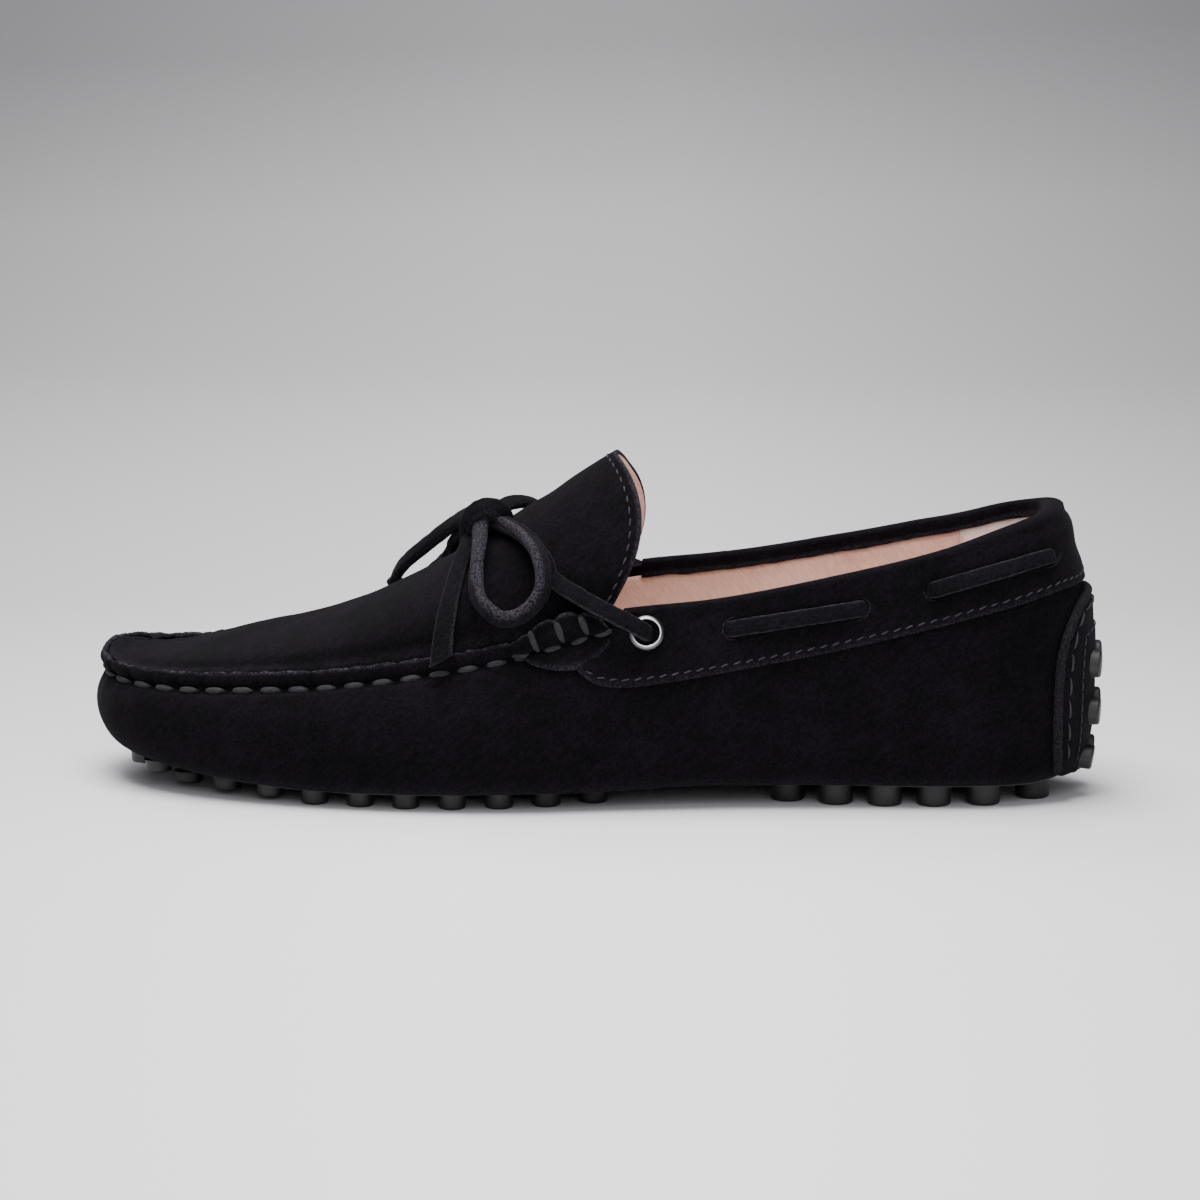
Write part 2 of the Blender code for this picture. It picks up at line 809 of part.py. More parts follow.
def make_tab(name, side, parts, suede):
    """Rolled oval end of the moccasin seam at the throat."""
    centre_x = along(TAB_CENTRE[0])
    centre_z = TAB_CENTRE[1] * COLLAR_HEIGHT
    half_x = TAB_HALF[0] * UPPER_LENGTH
    half_z = TAB_HALF[1] * COLLAR_HEIGHT
    spokes = 14
    rings = ((0.0, 1.0), (0.55, 0.92), (0.86, 0.62), (1.0, 0.12))

    def place(share, angle, lift):
        run = share * half_x * math.cos(angle)
        height = centre_z + share * half_z * math.sin(angle) + TAB_TILT * run
        x = centre_x + run
        station = station_at(side, x, min(height, centre_z))
        edge = edge_point(station)
        if height < edge.z:
            point = wall_at(station, height)
            normal = outward(station, height)
        else:
            normal = -inward(station, edge_point)
            point = edge + Vector((0, 0, height - edge.z))
        clear = FIT + RIDGE_BULGE
        return point + normal * (clear + lift)

    points = []
    for lift in (0, 1):
        for share, dome in rings:
            steps = 1 if share == 0 else spokes
            for k in range(steps):
                angle = 2 * math.pi * k / spokes
                points.append(place(share, angle, lift * (0.35 + 0.65 * dome) * TAB_WALL))
    count = 1 + spokes * (len(rings) - 1)
    faces = []
    for base, flip in ((0, False), (count, True)):
        for k in range(spokes):
            n = (k + 1) % spokes
            strips = [(base, base + 1 + k, base + 1 + n)]
            for r in range(len(rings) - 2):
                a, b = base + 1 + r * spokes, base + 1 + (r + 1) * spokes
                strips.append((a + k, b + k, b + n, a + n))
            faces += [tuple(reversed(face)) if flip else face for face in strips]
    rim = 1 + spokes * (len(rings) - 2)
    for k in range(spokes):
        n = (k + 1) % spokes
        faces.append((rim + k, rim + n, rim + n + count, rim + k + count))
    tab = add_mesh(name, parts, suede, points, faces)
    turn_faces_out(tab.data)


def make_patch(parts, cutters, suede, rubber):
    """Suede patch on the heel and the stud plate under it, with a hole for each stud."""
    across = 8
    for name, share, table, lift, wall, material in (
        ("heel_studs", PLATE_SHARE, PATCH_ROWS[:PLATE_ROWS], FIT, PLATE_WALL, rubber),
        ("heel_patch", 1.0, PATCH_ROWS, 2 * FIT + PLATE_WALL, PATCH_WALL, suede),
    ):
        rows = []
        for height, half in table:
            level = height * COLLAR_HEIGHT
            turns = [share * half * (2 * j / across - 1) for j in range(across + 1)]
            rows.append([over_wall(turn - HEEL_STATION, level, lift) for turn in turns])
        points, faces = ladder(rows)
        sheet = add_mesh(name, parts, material, points, faces)
        turn_faces_out(sheet.data)
        if sum(face.normal.x * face.area for face in sheet.data.polygons) < 0:
            sheet.data.flip_normals()
        add_shell(sheet, wall)
    studs = bmesh.new()
    holes = bmesh.new()
    for row in range(BACK_STUD_ROWS):
        for column in range(BACK_STUD_COLUMNS):
            station = -HEEL_STATION + BACK_STUD_STEP * (column - (BACK_STUD_COLUMNS - 1) / 2)
            height = BACK_STUD_LOW + row * BACK_STUD_PITCH
            normal = outward(station, height)
            root = over_wall(station, height, FIT + PLATE_WALL / 2)
            reach = PLATE_WALL / 2 + FIT + PATCH_WALL + BACK_STUD_REACH
            turn = Vector((0, 0, 1)).rotation_difference(normal).to_matrix().to_4x4()
            bmesh.ops.create_cone(
                studs,
                cap_ends=True,
                segments=STUD_SIDES,
                radius1=STUD_RADIUS,
                radius2=STUD_TIP_RADIUS,
                depth=reach,
                matrix=Matrix.Translation(root + normal * reach / 2) @ turn,
            )
            bmesh.ops.create_cone(
                holes,
                cap_ends=True,
                segments=STUD_SIDES,
                radius1=STUD_RADIUS + 2 * FIT,
                radius2=STUD_RADIUS + 2 * FIT,
                depth=4 * reach,
                matrix=Matrix.Translation(root) @ turn,
            )
    for name, work, target, act in (
        ("back_studs", studs, "heel_studs", join_on),
        ("back_holes", holes, "heel_patch", cut),
    ):
        mesh = bpy.data.meshes.new(name)
        work.to_mesh(mesh)
        work.free()
        tool = bpy.data.objects.new(name, mesh)
        cutters.objects.link(tool)
        hide_cutter(tool)
        act(bpy.data.objects[target], tool)


def eyelet_frame(side):
    """Centre of the eyelet on the band's outer face, and its axis."""
    height = EYELET_PLACE[1] * COLLAR_HEIGHT
    station = station_at(side, along(EYELET_PLACE[0]), height)
    normal = outward(station, height)
    centre = over_wall(station, height, FIT + BAND_WALL)
    turn = Vector((0, 0, 1)).rotation_difference(normal).to_matrix().to_4x4()
    return Matrix.Translation(centre) @ turn


def make_eyelet(name, side, parts, cutters, metal, cut_through):
    """Turned metal ring with a barrel through the band and the upper."""
    depth = BAND_WALL + FIT + WALL + FIT
    barrel = EYELET_HOLE_RADIUS + EYELET_BARREL_WALL
    profile = (
        (EYELET_HOLE_RADIUS, 0.6 * EYELET_LIP + EYELET_SEAT),
        (EYELET_HOLE_RADIUS + 0.45 * EYELET_LIP, EYELET_LIP + EYELET_SEAT),
        (EYELET_RADIUS - 0.5 * EYELET_LIP, EYELET_LIP + EYELET_SEAT),
        (EYELET_RADIUS, EYELET_SEAT),
        (barrel, EYELET_SEAT),
        (barrel, -depth),
        (EYELET_HOLE_RADIUS, -depth),
    )
    steps = 16
    points = []
    for k in range(steps):
        angle = 2 * math.pi * k / steps
        for radius, height in profile:
            points.append((radius * math.cos(angle), radius * math.sin(angle), height))
    size = len(profile)
    faces = []
    for k in range(steps):
        a, b = k * size, (k + 1) % steps * size
        for j in range(size):
            n = (j + 1) % size
            faces.append((a + j, a + n, b + n, b + j))
    frame = eyelet_frame(side)
    ring_piece = add_mesh(name, parts, metal, points, faces)
    turn_faces_out(ring_piece.data)
    ring_piece.matrix_world = frame
    bpy.ops.mesh.primitive_cylinder_add(vertices=16, radius=barrel + FIT, depth=6 * WALL)
    hole = bpy.context.active_object
    hole.name = name + "_hole"
    hole.matrix_world = frame
    for owner in list(hole.users_collection):
        owner.objects.unlink(hole)
    cutters.objects.link(hole)
    hide_cutter(hole)
    for thing in cut_through:
        cut(thing, hole)


def through(points, steps):
    """Smooth curve through a few points."""
    fine = []
    for k in range(len(points) - 1):
        a = points[max(k - 1, 0)]
        b, c = points[k], points[k + 1]
        d = points[min(k + 2, len(points) - 1)]
        for n in range(steps):
            fine.append(hermite(b, c, (c - a) / 2, (d - b) / 2, n / steps))
    return [*fine, points[-1]]


def add_tube(name, parts, material, points, radius):
    curve = bpy.data.curves.new(name, "CURVE")
    curve.dimensions = "3D"
    curve.bevel_depth = radius
    curve.bevel_resolution = 2
    curve.use_fill_caps = True
    line = curve.splines.new("POLY")
    line.points.add(len(points) - 1)
    for place, point in zip(line.points, points):
        place.co = (*point, 1)
    curve.materials.append(material)
    thing = bpy.data.objects.new(name, curve)
    parts.objects.link(thing)


def make_bars(parts, suede):
    """Lengths of the lace that lie outside the band between two slots."""
    for side_name, side in (("outer", -1), ("inner", 1)):
        for name, rows in BAR_ROWS.items():
            points = []
            for length, height in rows:
                level = height * COLLAR_HEIGHT
                station = station_at(side, along(length), level)
                lift = FIT + BAND_WALL + FIT + LACE_RADIUS
                points.append(over_wall(station, level, lift))
            add_tube(
                f"lace_bar_{name}_{side_name}", parts, suede, through(points, 2), LACE_RADIUS
            )


def make_bow(parts, suede):
    """Knot, loops, loose ends and the strands that run to the eyelets."""
    for name, route in LACE_ROUTES.items():
        points = [Vector(point) * MILLIMETRE for point in route]
        add_tube(name, parts, suede, through(points, 2), LACE_RADIUS)
    turn = Vector((0, 0, 1)).rotation_difference(Vector(KNOT_NORMAL)).to_matrix().to_4x4()
    size = Matrix.Diagonal((*(radius * MILLIMETRE for radius in KNOT_RADII), 1))
    centre = Matrix.Translation(Vector(KNOT_CENTRE) * MILLIMETRE)
    work = bmesh.new()
    place = centre @ turn @ size
    bmesh.ops.create_uvsphere(work, u_segments=12, v_segments=7, radius=1, matrix=place)
    mesh = bpy.data.meshes.new("lace_knot")
    work.to_mesh(mesh)
    work.free()
    mesh.materials.append(suede)
    mesh.shade_smooth()
    parts.objects.link(bpy.data.objects.new("lace_knot", mesh))


def main():
    clear_scene()
    scene = bpy.context.scene
    parts = bpy.data.collections.new("driving_moccasin")
    cutters = bpy.data.collections.new("cutters")
    scene.collection.children.link(parts)
    scene.collection.children.link(cutters)
    suede = make_material("suede", (0.013, 0.012, 0.015), 0.95)
    rubber = make_material("rubber", (0.016, 0.017, 0.018), 0.55)
    lining = make_material("lining_leather", (0.62, 0.38, 0.29), 0.60)
    metal = make_material("eyelet_metal", (0.62, 0.63, 0.65), 0.25, 1.0)
    upper = make_upper(parts, cutters, suede)
    make_sole(parts, cutters, rubber)
    make_insole(parts, lining)
    make_apron(parts, suede)
    band = make_band(parts, cutters, suede)
    for name, side in (("outer", -1), ("inner", 1)):
        make_tab("seam_tab_" + name, side, parts, suede)
        make_eyelet("eyelet_" + name, side, parts, cutters, metal, (upper, band))
    make_patch(parts, cutters, suede, rubber)
    make_bars(parts, suede)
    make_bow(parts, suede)


main()
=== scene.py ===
"""Looks of a left driving moccasin: black suede, pink lining, studded rubber, tied lace."""

import math
from functools import lru_cache

import bmesh
import bpy
import numpy as np
from mathutils import Matrix, Vector, noise


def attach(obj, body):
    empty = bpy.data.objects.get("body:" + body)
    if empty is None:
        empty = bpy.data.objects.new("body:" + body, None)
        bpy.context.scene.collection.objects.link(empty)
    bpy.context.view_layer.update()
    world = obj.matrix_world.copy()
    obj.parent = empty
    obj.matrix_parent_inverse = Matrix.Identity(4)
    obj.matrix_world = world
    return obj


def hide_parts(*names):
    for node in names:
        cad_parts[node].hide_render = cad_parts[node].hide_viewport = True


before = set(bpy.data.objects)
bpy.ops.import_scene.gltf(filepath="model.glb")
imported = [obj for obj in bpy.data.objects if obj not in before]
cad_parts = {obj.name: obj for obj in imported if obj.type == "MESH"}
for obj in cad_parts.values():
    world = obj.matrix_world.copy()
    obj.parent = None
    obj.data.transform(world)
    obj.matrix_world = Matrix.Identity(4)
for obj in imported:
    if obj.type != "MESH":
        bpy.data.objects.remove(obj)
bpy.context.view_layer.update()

# Lengths in metres, as in the part's source
MM = 0.001
LENGTH = 0.288
BALL_WIDTH = 0.100
COLLAR_HEIGHT = 0.083
TONGUE_HEIGHT = 0.0965
TOE_SPRING = 0.006
FORE_STUD_DROP = 0.0032
HEEL_STUD_DROP = 0.0050
WALL = 0.0020
BAND_WALL = 0.0012
PATCH_WALL = 0.0012
PLATE_WALL = 0.0008
FIT = 0.0003
SEAT_GAP = 0.0006
RIDGE_HEIGHT = 0.0044
RIDGE_BULGE = 0.0006
APRON_DROP = 0.0010
TONGUE_FLARE = 0.0095
HEM_SHOWN = 0.0036
STUD_RADIUS = 0.0042
STUD_PITCH = 0.0127
HEEL_STUD_PITCH = 0.0138
BACK_STUD_PITCH = 0.0135
BACK_STUD_REACH = 0.0024
STUD_EDGE = 0.0004
EYELET_HOLE_RADIUS = 0.0034
EYELET_RADIUS = 0.0050
HEEL_STATION = 14
THROAT_STATION = 7.95
FRONT_X = -LENGTH / 2
UPPER_LENGTH = LENGTH - BACK_STUD_REACH - PATCH_WALL - PLATE_WALL - 2 * FIT

# girth: length, outer, inner, height | edge: length, outer, inner, height outer, inner
# | tuck outer, inner | lean | ridge
SIDE_ROWS = (
    (0.000, -0.06, 0.06, 0.270, 0.013, -0.06, 0.06, 0.463, 0.463, 0.100, 0.100, 0.35, 1.0),
    (0.012, 0.10, 0.21, 0.265, 0.023, 0.08, 0.18, 0.453, 0.458, 0.100, 0.100, 0.40, 1.0),
    (0.040, 0.22, 0.32, 0.252, 0.048, 0.17, 0.265, 0.443, 0.453, 0.090, 0.090, 0.55, 1.0),
    (0.088, 0.325, 0.41, 0.242, 0.093, 0.26, 0.335, 0.440, 0.455, 0.065, 0.065, 0.65, 1.0),
    (0.155, 0.41, 0.47, 0.235, 0.157, 0.335, 0.385, 0.446, 0.464, 0.045, 0.050, 0.70, 1.0),
    (0.242, 0.47, 0.50, 0.232, 0.242, 0.385, 0.405, 0.463, 0.480, 0.035, 0.045, 0.70, 1.0),
    (0.340, 0.50, 0.48, 0.235, 0.340, 0.410, 0.385, 0.512, 0.528, 0.030, 0.050, 0.65, 1.0),
    (0.440, 0.49, 0.425, 0.245, 0.438, 0.405, 0.345, 0.578, 0.590, 0.040, 0.080, 0.50, 1.0),
    (0.537, 0.445, 0.370, 0.255, 0.532, 0.380, 0.318, 0.663, 0.672, 0.055, 0.110, 0.30, 0.8),
    (0.640, 0.390, 0.340, 0.270, 0.640, 0.350, 0.302, 0.706, 0.712, 0.060, 0.110, 0.18, 0.5),
    (0.750, 0.355, 0.333, 0.290, 0.750, 0.325, 0.296, 0.780, 0.782, 0.058, 0.080, 0.15, 0.5),
    (0.860, 0.335, 0.325, 0.315, 0.855, 0.292, 0.282, 0.867, 0.868, 0.050, 0.055, 0.20, 0.5),
    (0.940, 0.285, 0.280, 0.335, 0.926, 0.235, 0.232, 0.952, 0.952, 0.050, 0.050, 0.30, 0.5),
    (0.985, 0.165, 0.165, 0.350, 0.960, 0.130, 0.130, 0.988, 0.988, 0.055, 0.055, 0.35, 0.5),
    (1.000, 0.000, 0.000, 0.360, 0.968, 0.000, 0.000, 1.000, 1.000, 0.060, 0.060, 0.35, 0.5),
)
SPRING_ROWS = (
    (0.000, 1.10),
    (0.040, 0.92),
    (0.065, 0.77),
    (0.105, 0.58),
    (0.145, 0.38),
    (0.190, 0.19),
    (0.235, 0.06),
    (0.290, 0.00),
    (1.000, 0.00),
)
ARCH_ROWS = ((0.000, 0.0), (0.500, 0.0), (0.560, 0.5), (0.620, 1.0), (1.000, 1.0))
CROWN_ROWS = (
    (0.013, 0.389),
    (0.050, 0.393),
    (0.092, 0.410),
    (0.141, 0.441),
    (0.190, 0.470),
    (0.237, 0.508),
    (0.286, 0.562),
    (0.331, 0.624),
    (0.377, 0.704),
    (0.422, 0.795),
    (0.479, 0.907),
    (0.532, 1.000),
)
BAND_FOOT_ROWS = (
    (0.499, 0.500),
    (0.508, 0.472),
    (0.520, 0.445),
    (0.535, 0.434),
    (0.560, 0.434),
    (0.617, 0.462),
    (0.732, 0.536),
    (0.836, 0.616),
    (0.926, 0.694),
    (0.972, 0.738),
    (1.000, 0.748),
)
BAND_START = 7.66
BAND_HEM_START = 8.13
BAND_FRONT_ROWS = (
    (0.499, 0.506),
    (0.512, 0.522),
    (0.524, 0.550),
    (0.534, 0.600),
    (0.545, 0.668),
)
EYELET_PLACE = (0.568, 0.607)
BAR_ENDS = {"front": (39.3, 77.4), "rear": (94.8, 128.6)}
BAR_ROWS = {
    "front": ((0.650, 0.622), (0.700, 0.650), (0.745, 0.675), (0.787, 0.698)),
    "rear": ((0.850, 0.757), (0.887, 0.790), (0.922, 0.825), (0.952, 0.857)),
}
PATCH_ROWS = (
    (0.090, 1.50),
    (0.115, 1.58),
    (0.145, 1.65),
    (0.180, 1.70),
    (0.230, 1.75),
    (0.300, 1.78),
    (0.380, 1.78),
    (0.460, 1.75),
    (0.540, 1.66),
    (0.600, 1.48),
    (0.650, 1.20),
    (0.690, 0.80),
    (0.712, 0.35),
)
BACK_STUD_STEP = 0.82
BACK_STUD_LOW = 0.0122
FORE_UNIT = {"stations": (0.80, 8.40), "share": 0.985, "first": 0.063, "rows": 11}
HEEL_UNIT = {"stations": (9.25, 13.80), "share": 0.985, "first": 0.705, "rows": 6}

# Lace routes in millimetres: knot to knot, knot to loose end, or eyelet to knot
LACE_ROUTES = {
    "lace_strand_outer": (
        (17.6, -36.6, 49.6),
        (16.9, -40.4, 51.1),
        (15.7, -43.2, 52.5),
        (12.0, -44.2, 54.7),
        (6.0, -43.5, 57.5),
        (-2.0, -40.2, 61.1),
        (-10.0, -36.0, 65.4),
        (-11.8, -35.0, 69.5),
        (-14.2, -32.0, 72.3),
        (-17.0, -28.4, 74.7),
        (-20.2, -24.0, 76.2),
        (-23.8, -18.5, 76.8),
        (-27.3, -12.5, 77.1),
        (-30.1, -7.5, 77.6),
        (-31.7, -3.5, 78.1),
    ),
    "lace_strand_inner": (
        (17.4, 31.0, 49.8),
        (16.8, 34.8, 51.1),
        (15.9, 37.5, 52.5),
        (12.0, 38.6, 52.9),
        (5.0, 38.4, 55.6),
        (-2.0, 35.4, 61.4),
        (-9.0, 29.4, 68.2),
        (-16.0, 21.8, 74.6),
        (-21.8, 13.2, 79.0),
        (-26.4, 5.6, 79.8),
        (-29.4, 0.0, 78.2),
        (-31.4, -2.6, 76.6),
    ),
    "lace_loop_outer": (
        (-30.6, -8.0, 78.5),
        (-26.8, -13.0, 78.2),
        (-22.5, -20.0, 77.2),
        (-19.0, -26.5, 76.2),
        (-15.9, -32.5, 74.6),
        (-13.4, -38.0, 72.2),
        (-12.0, -41.5, 69.2),
        (-11.5, -43.5, 65.8),
        (-12.2, -44.8, 62.3),
        (-15.4, -45.6, 58.0),
        (-19.5, -45.8, 55.6),
        (-23.5, -45.2, 55.3),
        (-26.7, -44.0, 57.0),
        (-29.7, -41.5, 59.7),
        (-30.9, -38.5, 62.7),
        (-31.4, -35.0, 65.6),
        (-31.6, -31.5, 68.2),
        (-31.6, -27.5, 70.8),
        (-31.7, -23.0, 73.2),
        (-32.1, -18.0, 75.6),
        (-32.1, -13.5, 77.7),
        (-32.0, -8.5, 79.3),
        (-32.2, -4.5, 79.8),
    ),
    "lace_loop_inner": (
        (-32.8, -2.5, 77.0),
        (-37.2, 2.6, 77.2),
        (-43.2, 9.6, 72.8),
        (-51.6, 18.0, 65.6),
        (-58.8, 26.0, 59.0),
        (-63.0, 33.5, 53.0),
        (-63.0, 39.0, 49.4),
        (-57.0, 40.0, 50.4),
        (-49.0, 34.0, 57.6),
        (-45.4, 25.6, 63.6),
        (-40.8, 17.4, 69.4),
        (-36.8, 9.6, 73.4),
        (-34.6, 3.6, 75.0),
        (-32.0, -2.0, 75.2),
    ),
    "lace_end_outer": (
        (-32.6, -3.4, 75.0),
        (-34.8, -9.4, 73.8),
        (-36.4, -17.6, 70.0),
        (-37.9, -27.0, 63.8),
        (-39.0, -36.0, 57.2),
        (-39.8, -41.8, 50.0),
        (-40.2, -45.0, 43.0),
    ),
    "lace_end_inner": (
        (-31.5, 1.0, 76.2),
        (-37.5, 6.0, 73.2),
        (-42.6, 12.5, 68.8),
        (-44.0, 20.5, 64.0),
        (-42.5, 28.5, 60.2),
        (-40.0, 35.5, 54.6),
        (-38.0, 40.6, 48.6),
        (-37.0, 42.8, 43.0),
    ),
}
KNOT_ROUTE = (
    (-37.3, -5.0, 69.5),
    (-37.0, -9.0, 72.8),
    (-36.4, -12.0, 76.2),
    (-35.2, -14.0, 79.2),
    (-33.1, -15.0, 81.3),
    (-30.7, -15.2, 82.2),
    (-28.3, -14.8, 82.0),
    (-26.6, -13.5, 80.7),
    (-25.6, -12.0, 78.8),
    (-25.4, -10.5, 76.7),
)
LACE_WIDTH = 0.0049
LACE_THICKNESS = 0.0028

# Walls of the dressed pieces, and the gaps between them and the lining
SUEDE_WALL = 0.0014
LINING_WALL = 0.0004
LINING_GAP = 0.00015
GRIP_WALL = 0.0005
GRIP_GAP = 0.00012

# Seam thread: one stitch to the next, and the place of one stitch's middle
SEAM_PITCH = 0.00816
SEAM_STITCH = 0.0062
SEAM_PHASE = 0.20
TRIM_PITCH = 0.0035


# Camera at the photograph's angle
VIEW_AZIMUTH = math.radians(5)
VIEW_ELEVATION = math.radians(10)
VIEW_DISTANCE = 1.4
VIEW_TARGET = Vector((0.0004, 0, 0.053))
VIEW_LENS = 146.5
VIEW_SENSOR = 36


def make_camera():
    level = math.cos(VIEW_ELEVATION)
    back = Vector(
        (
            math.sin(VIEW_AZIMUTH) * level,
            -math.cos(VIEW_AZIMUTH) * level,
            math.sin(VIEW_ELEVATION),
        )
    )
    data = bpy.data.cameras.new("camera")
    data.lens = VIEW_LENS
    data.sensor_width = VIEW_SENSOR
    data.clip_start = 0.05
    data.clip_end = 20
    camera = bpy.data.objects.new("camera", data)
    bpy.context.scene.collection.objects.link(camera)
    camera.location = VIEW_TARGET + back * VIEW_DISTANCE
    camera.rotation_euler = (-back).to_track_quat("-Z", "Y").to_euler()
    bpy.context.scene.camera = camera


# The shoe's own curves
def hermite(p0, p1, m0, m1, f):
    """Cubic between two values with the slopes given over the unit step."""
    f2 = f * f
    f3 = f2 * f
    return (
        (2 * f3 - 3 * f2 + 1) * p0
        + (f3 - 2 * f2 + f) * m0
        + (3 * f2 - 2 * f3) * p1
        + (f3 - f2) * m1
    )


def read_rows(rows, at):
    """Smooth value of a two-column table, held level past its ends."""
    if at <= rows[0][0]:
        return rows[0][1]
    if at >= rows[-1][0]:
        return rows[-1][1]
    k = next(n for n in range(len(rows) - 1) if at <= rows[n + 1][0])

    def slope(n):
        low = rows[max(n - 1, 0)]
        high = rows[min(n + 1, len(rows) - 1)]
        return (high[1] - low[1]) / (high[0] - low[0])

    step = rows[k + 1][0] - rows[k][0]
    share = (at - rows[k][0]) / step
    return hermite(rows[k][1], rows[k + 1][1], slope(k) * step, slope(k + 1) * step, share)


def station_row(index):
    turn = (index + HEEL_STATION) % (2 * HEEL_STATION) - HEEL_STATION
    row = SIDE_ROWS[abs(turn)]
    if turn < 0:
        return (row[0], -row[1], row[3], row[4], -row[5], row[7], row[9], row[11], row[12])
    return (row[0], row[2], row[3], row[4], row[6], row[8], row[10], row[11], row[12])


@lru_cache(maxsize=None)
def ring(station):
    """Smooth values of all columns at any station round the shoe."""
    low = math.floor(station)
    share = station - low
    rows = [station_row(low + k) for k in (-1, 0, 1, 2)]
    return [
        hermite(b, c, (c - a) / 2, (d - b) / 2, share) for a, b, c, d in zip(*rows)
    ]


def along(share):
    return FRONT_X + share * UPPER_LENGTH


def underside(x):
    """Height of the flat underside above the floor."""
    share = (x - FRONT_X) / UPPER_LENGTH
    drop = FORE_STUD_DROP + (HEEL_STUD_DROP - FORE_STUD_DROP) * read_rows(ARCH_ROWS, share)
    return drop + TOE_SPRING * read_rows(SPRING_ROWS, share)


def girth_point(station):
    row = ring(station)
    return Vector((along(row[0]), row[1] * BALL_WIDTH, row[2] * COLLAR_HEIGHT))


def edge_point(station):
    row = ring(station)
    return Vector((along(row[3]), row[4] * BALL_WIDTH, row[5] * COLLAR_HEIGHT))


def inward(station, point_of):
    """Level unit vector towards the inside of the shoe from one of its lines."""
    run = point_of(station + 0.05) - point_of(station - 0.05)
    return Vector((run.y, -run.x, 0)).normalized()


def sole_edge(station):
    point = girth_point(station) + inward(station, girth_point) * ring(station)[6] * BALL_WIDTH
    return Vector((point.x, point.y, underside(point.x)))


@lru_cache(maxsize=None)
def wall_curve(station, low_steps=8, high_steps=16, ridge_steps=2):
    """Outer face from the edge of the underside up to the topline."""
    row = ring(station)
    foot = sole_edge(station)
    girth = girth_point(station)
    edge = edge_point(station)
    into = inward(station, edge_point)
    points = []
    for k in range(low_steps):
        angle = math.pi / 2 * k / low_steps
        flat = foot.lerp(girth, math.sin(angle))
        flat.z = foot.z + (girth.z - foot.z) * (1 - math.cos(angle))
        points.append(flat)
    ridge_foot = edge - Vector((0, 0, RIDGE_HEIGHT * row[8]))
    rise = ridge_foot.z - girth.z
    lean = (into * row[7] + Vector((0, 0, 1 - row[7]))).normalized()
    first = girth + Vector((0, 0, 0.45 * rise))
    second = ridge_foot - lean * 0.40 * rise
    for k in range(high_steps + 1):
        f = k / high_steps
        g = 1 - f
        points.append(
            girth * g**3 + first * 3 * g * g * f + second * 3 * g * f * f + ridge_foot * f**3
        )
    bulge = RIDGE_BULGE * max(0.0, 2 * row[8] - 1)
    for k in range(1, ridge_steps + 1):
        f = k / ridge_steps
        swell = math.sin(math.pi * f**0.87) if k < ridge_steps else 0.0
        points.append(ridge_foot.lerp(edge, f) - into * bulge * swell)
    return points


@lru_cache(maxsize=None)
def wall_at(station, height):
    """Point of the outer face at one height."""
    points = wall_curve(station)
    for low, high in zip(points, points[1:]):
        if height <= high.z:
            return low.lerp(high, (height - low.z) / (high.z - low.z))
    return points[-1]


@lru_cache(maxsize=None)
def outward(station, height):
    """Unit vector out of the outer face at one height."""
    run = wall_at(station + 0.04, height) - wall_at(station - 0.04, height)
    climb = wall_at(station, height + 0.0015) - wall_at(station, height - 0.0015)
    return climb.cross(run).normalized()


@lru_cache(maxsize=None)
def station_at(side, x, height):
    """Station on one side whose outer face has this x at this height."""
    low, high = 1.0, HEEL_STATION - 0.001
    for _ in range(22):
        middle = (low + high) / 2
        if wall_at(side * middle, height).x < x:
            low = middle
        else:
            high = middle
    return side * low


def over_wall(station, height, distance):
    return wall_at(station, height) + outward(station, height) * distance


def apron_point(station, turn):
    """Outer face of the apron and tongue; turn is -1 at the outer seam, +1 at the inner."""
    sides = []
    for side in (-1, 1):
        base = edge_point(side * station)
        base += inward(side * station, edge_point) * (WALL + FIT)
        base.z -= APRON_DROP
        sides.append(base)
    outer, inner = sides
    share = (turn + 1) / 2
    angle = turn * math.pi / 2
    middle = (outer + inner) / 2
    x = middle.x + (inner.x - outer.x) / 2 * turn
    y = middle.y + (inner.y - outer.y) / 2 * math.sin(angle)
    low = outer.z + (inner.z - outer.z) * share
    crown = TONGUE_HEIGHT * read_rows(CROWN_ROWS, (middle.x - FRONT_X) / UPPER_LENGTH)
    z = low + (crown - low) * math.cos(angle)
    flare = max(0.0, (station - 6.2) / (THROAT_STATION - 6.2)) ** 1.6
    swing = TONGUE_FLARE * (1.0 if turn < 0 else 0.69)
    power = 1.35 if turn < 0 else 1.8
    x += flare * swing * math.sin(math.pi * min(abs(turn), 1.0) ** power)
    return Vector((x, y, z))


def floor_point(station, turn):
    outer = sole_edge(-station)
    inner = sole_edge(station)
    point = outer.lerp(inner, (turn + 1) / 2)
    point.z = underside(point.x)
    return point


def seam_table():
    """Stations of the top of the seam ridge and their lengths along it from the toe."""
    stations = np.arange(-8.2, 8.2001, 0.02)
    points = np.array([edge_point(float(s)) for s in stations])
    steps = np.linalg.norm(np.diff(points, axis=0), axis=1)
    lengths = np.concatenate([[0], np.cumsum(steps)])
    lengths -= np.interp(0.0, stations, lengths)
    return stations, lengths, points


SEAM_STATIONS, SEAM_LENGTHS, SEAM_POINTS = seam_table()


# Mesh helpers
def arr(vectors):
    return np.array([tuple(v) for v in vectors], float)


def normals_of(grid, loop_u=False, loop_v=False):
    """Unit normals of a grid, by the run of its rows and columns."""
    def slope(axis, loop):
        if loop:
            return np.roll(grid, -1, axis) - np.roll(grid, 1, axis)
        return np.gradient(grid, axis=axis)

    normal = np.cross(slope(1, loop_v), slope(0, loop_u))
    return normal / np.maximum(np.linalg.norm(normal, axis=2, keepdims=True), 1e-12)


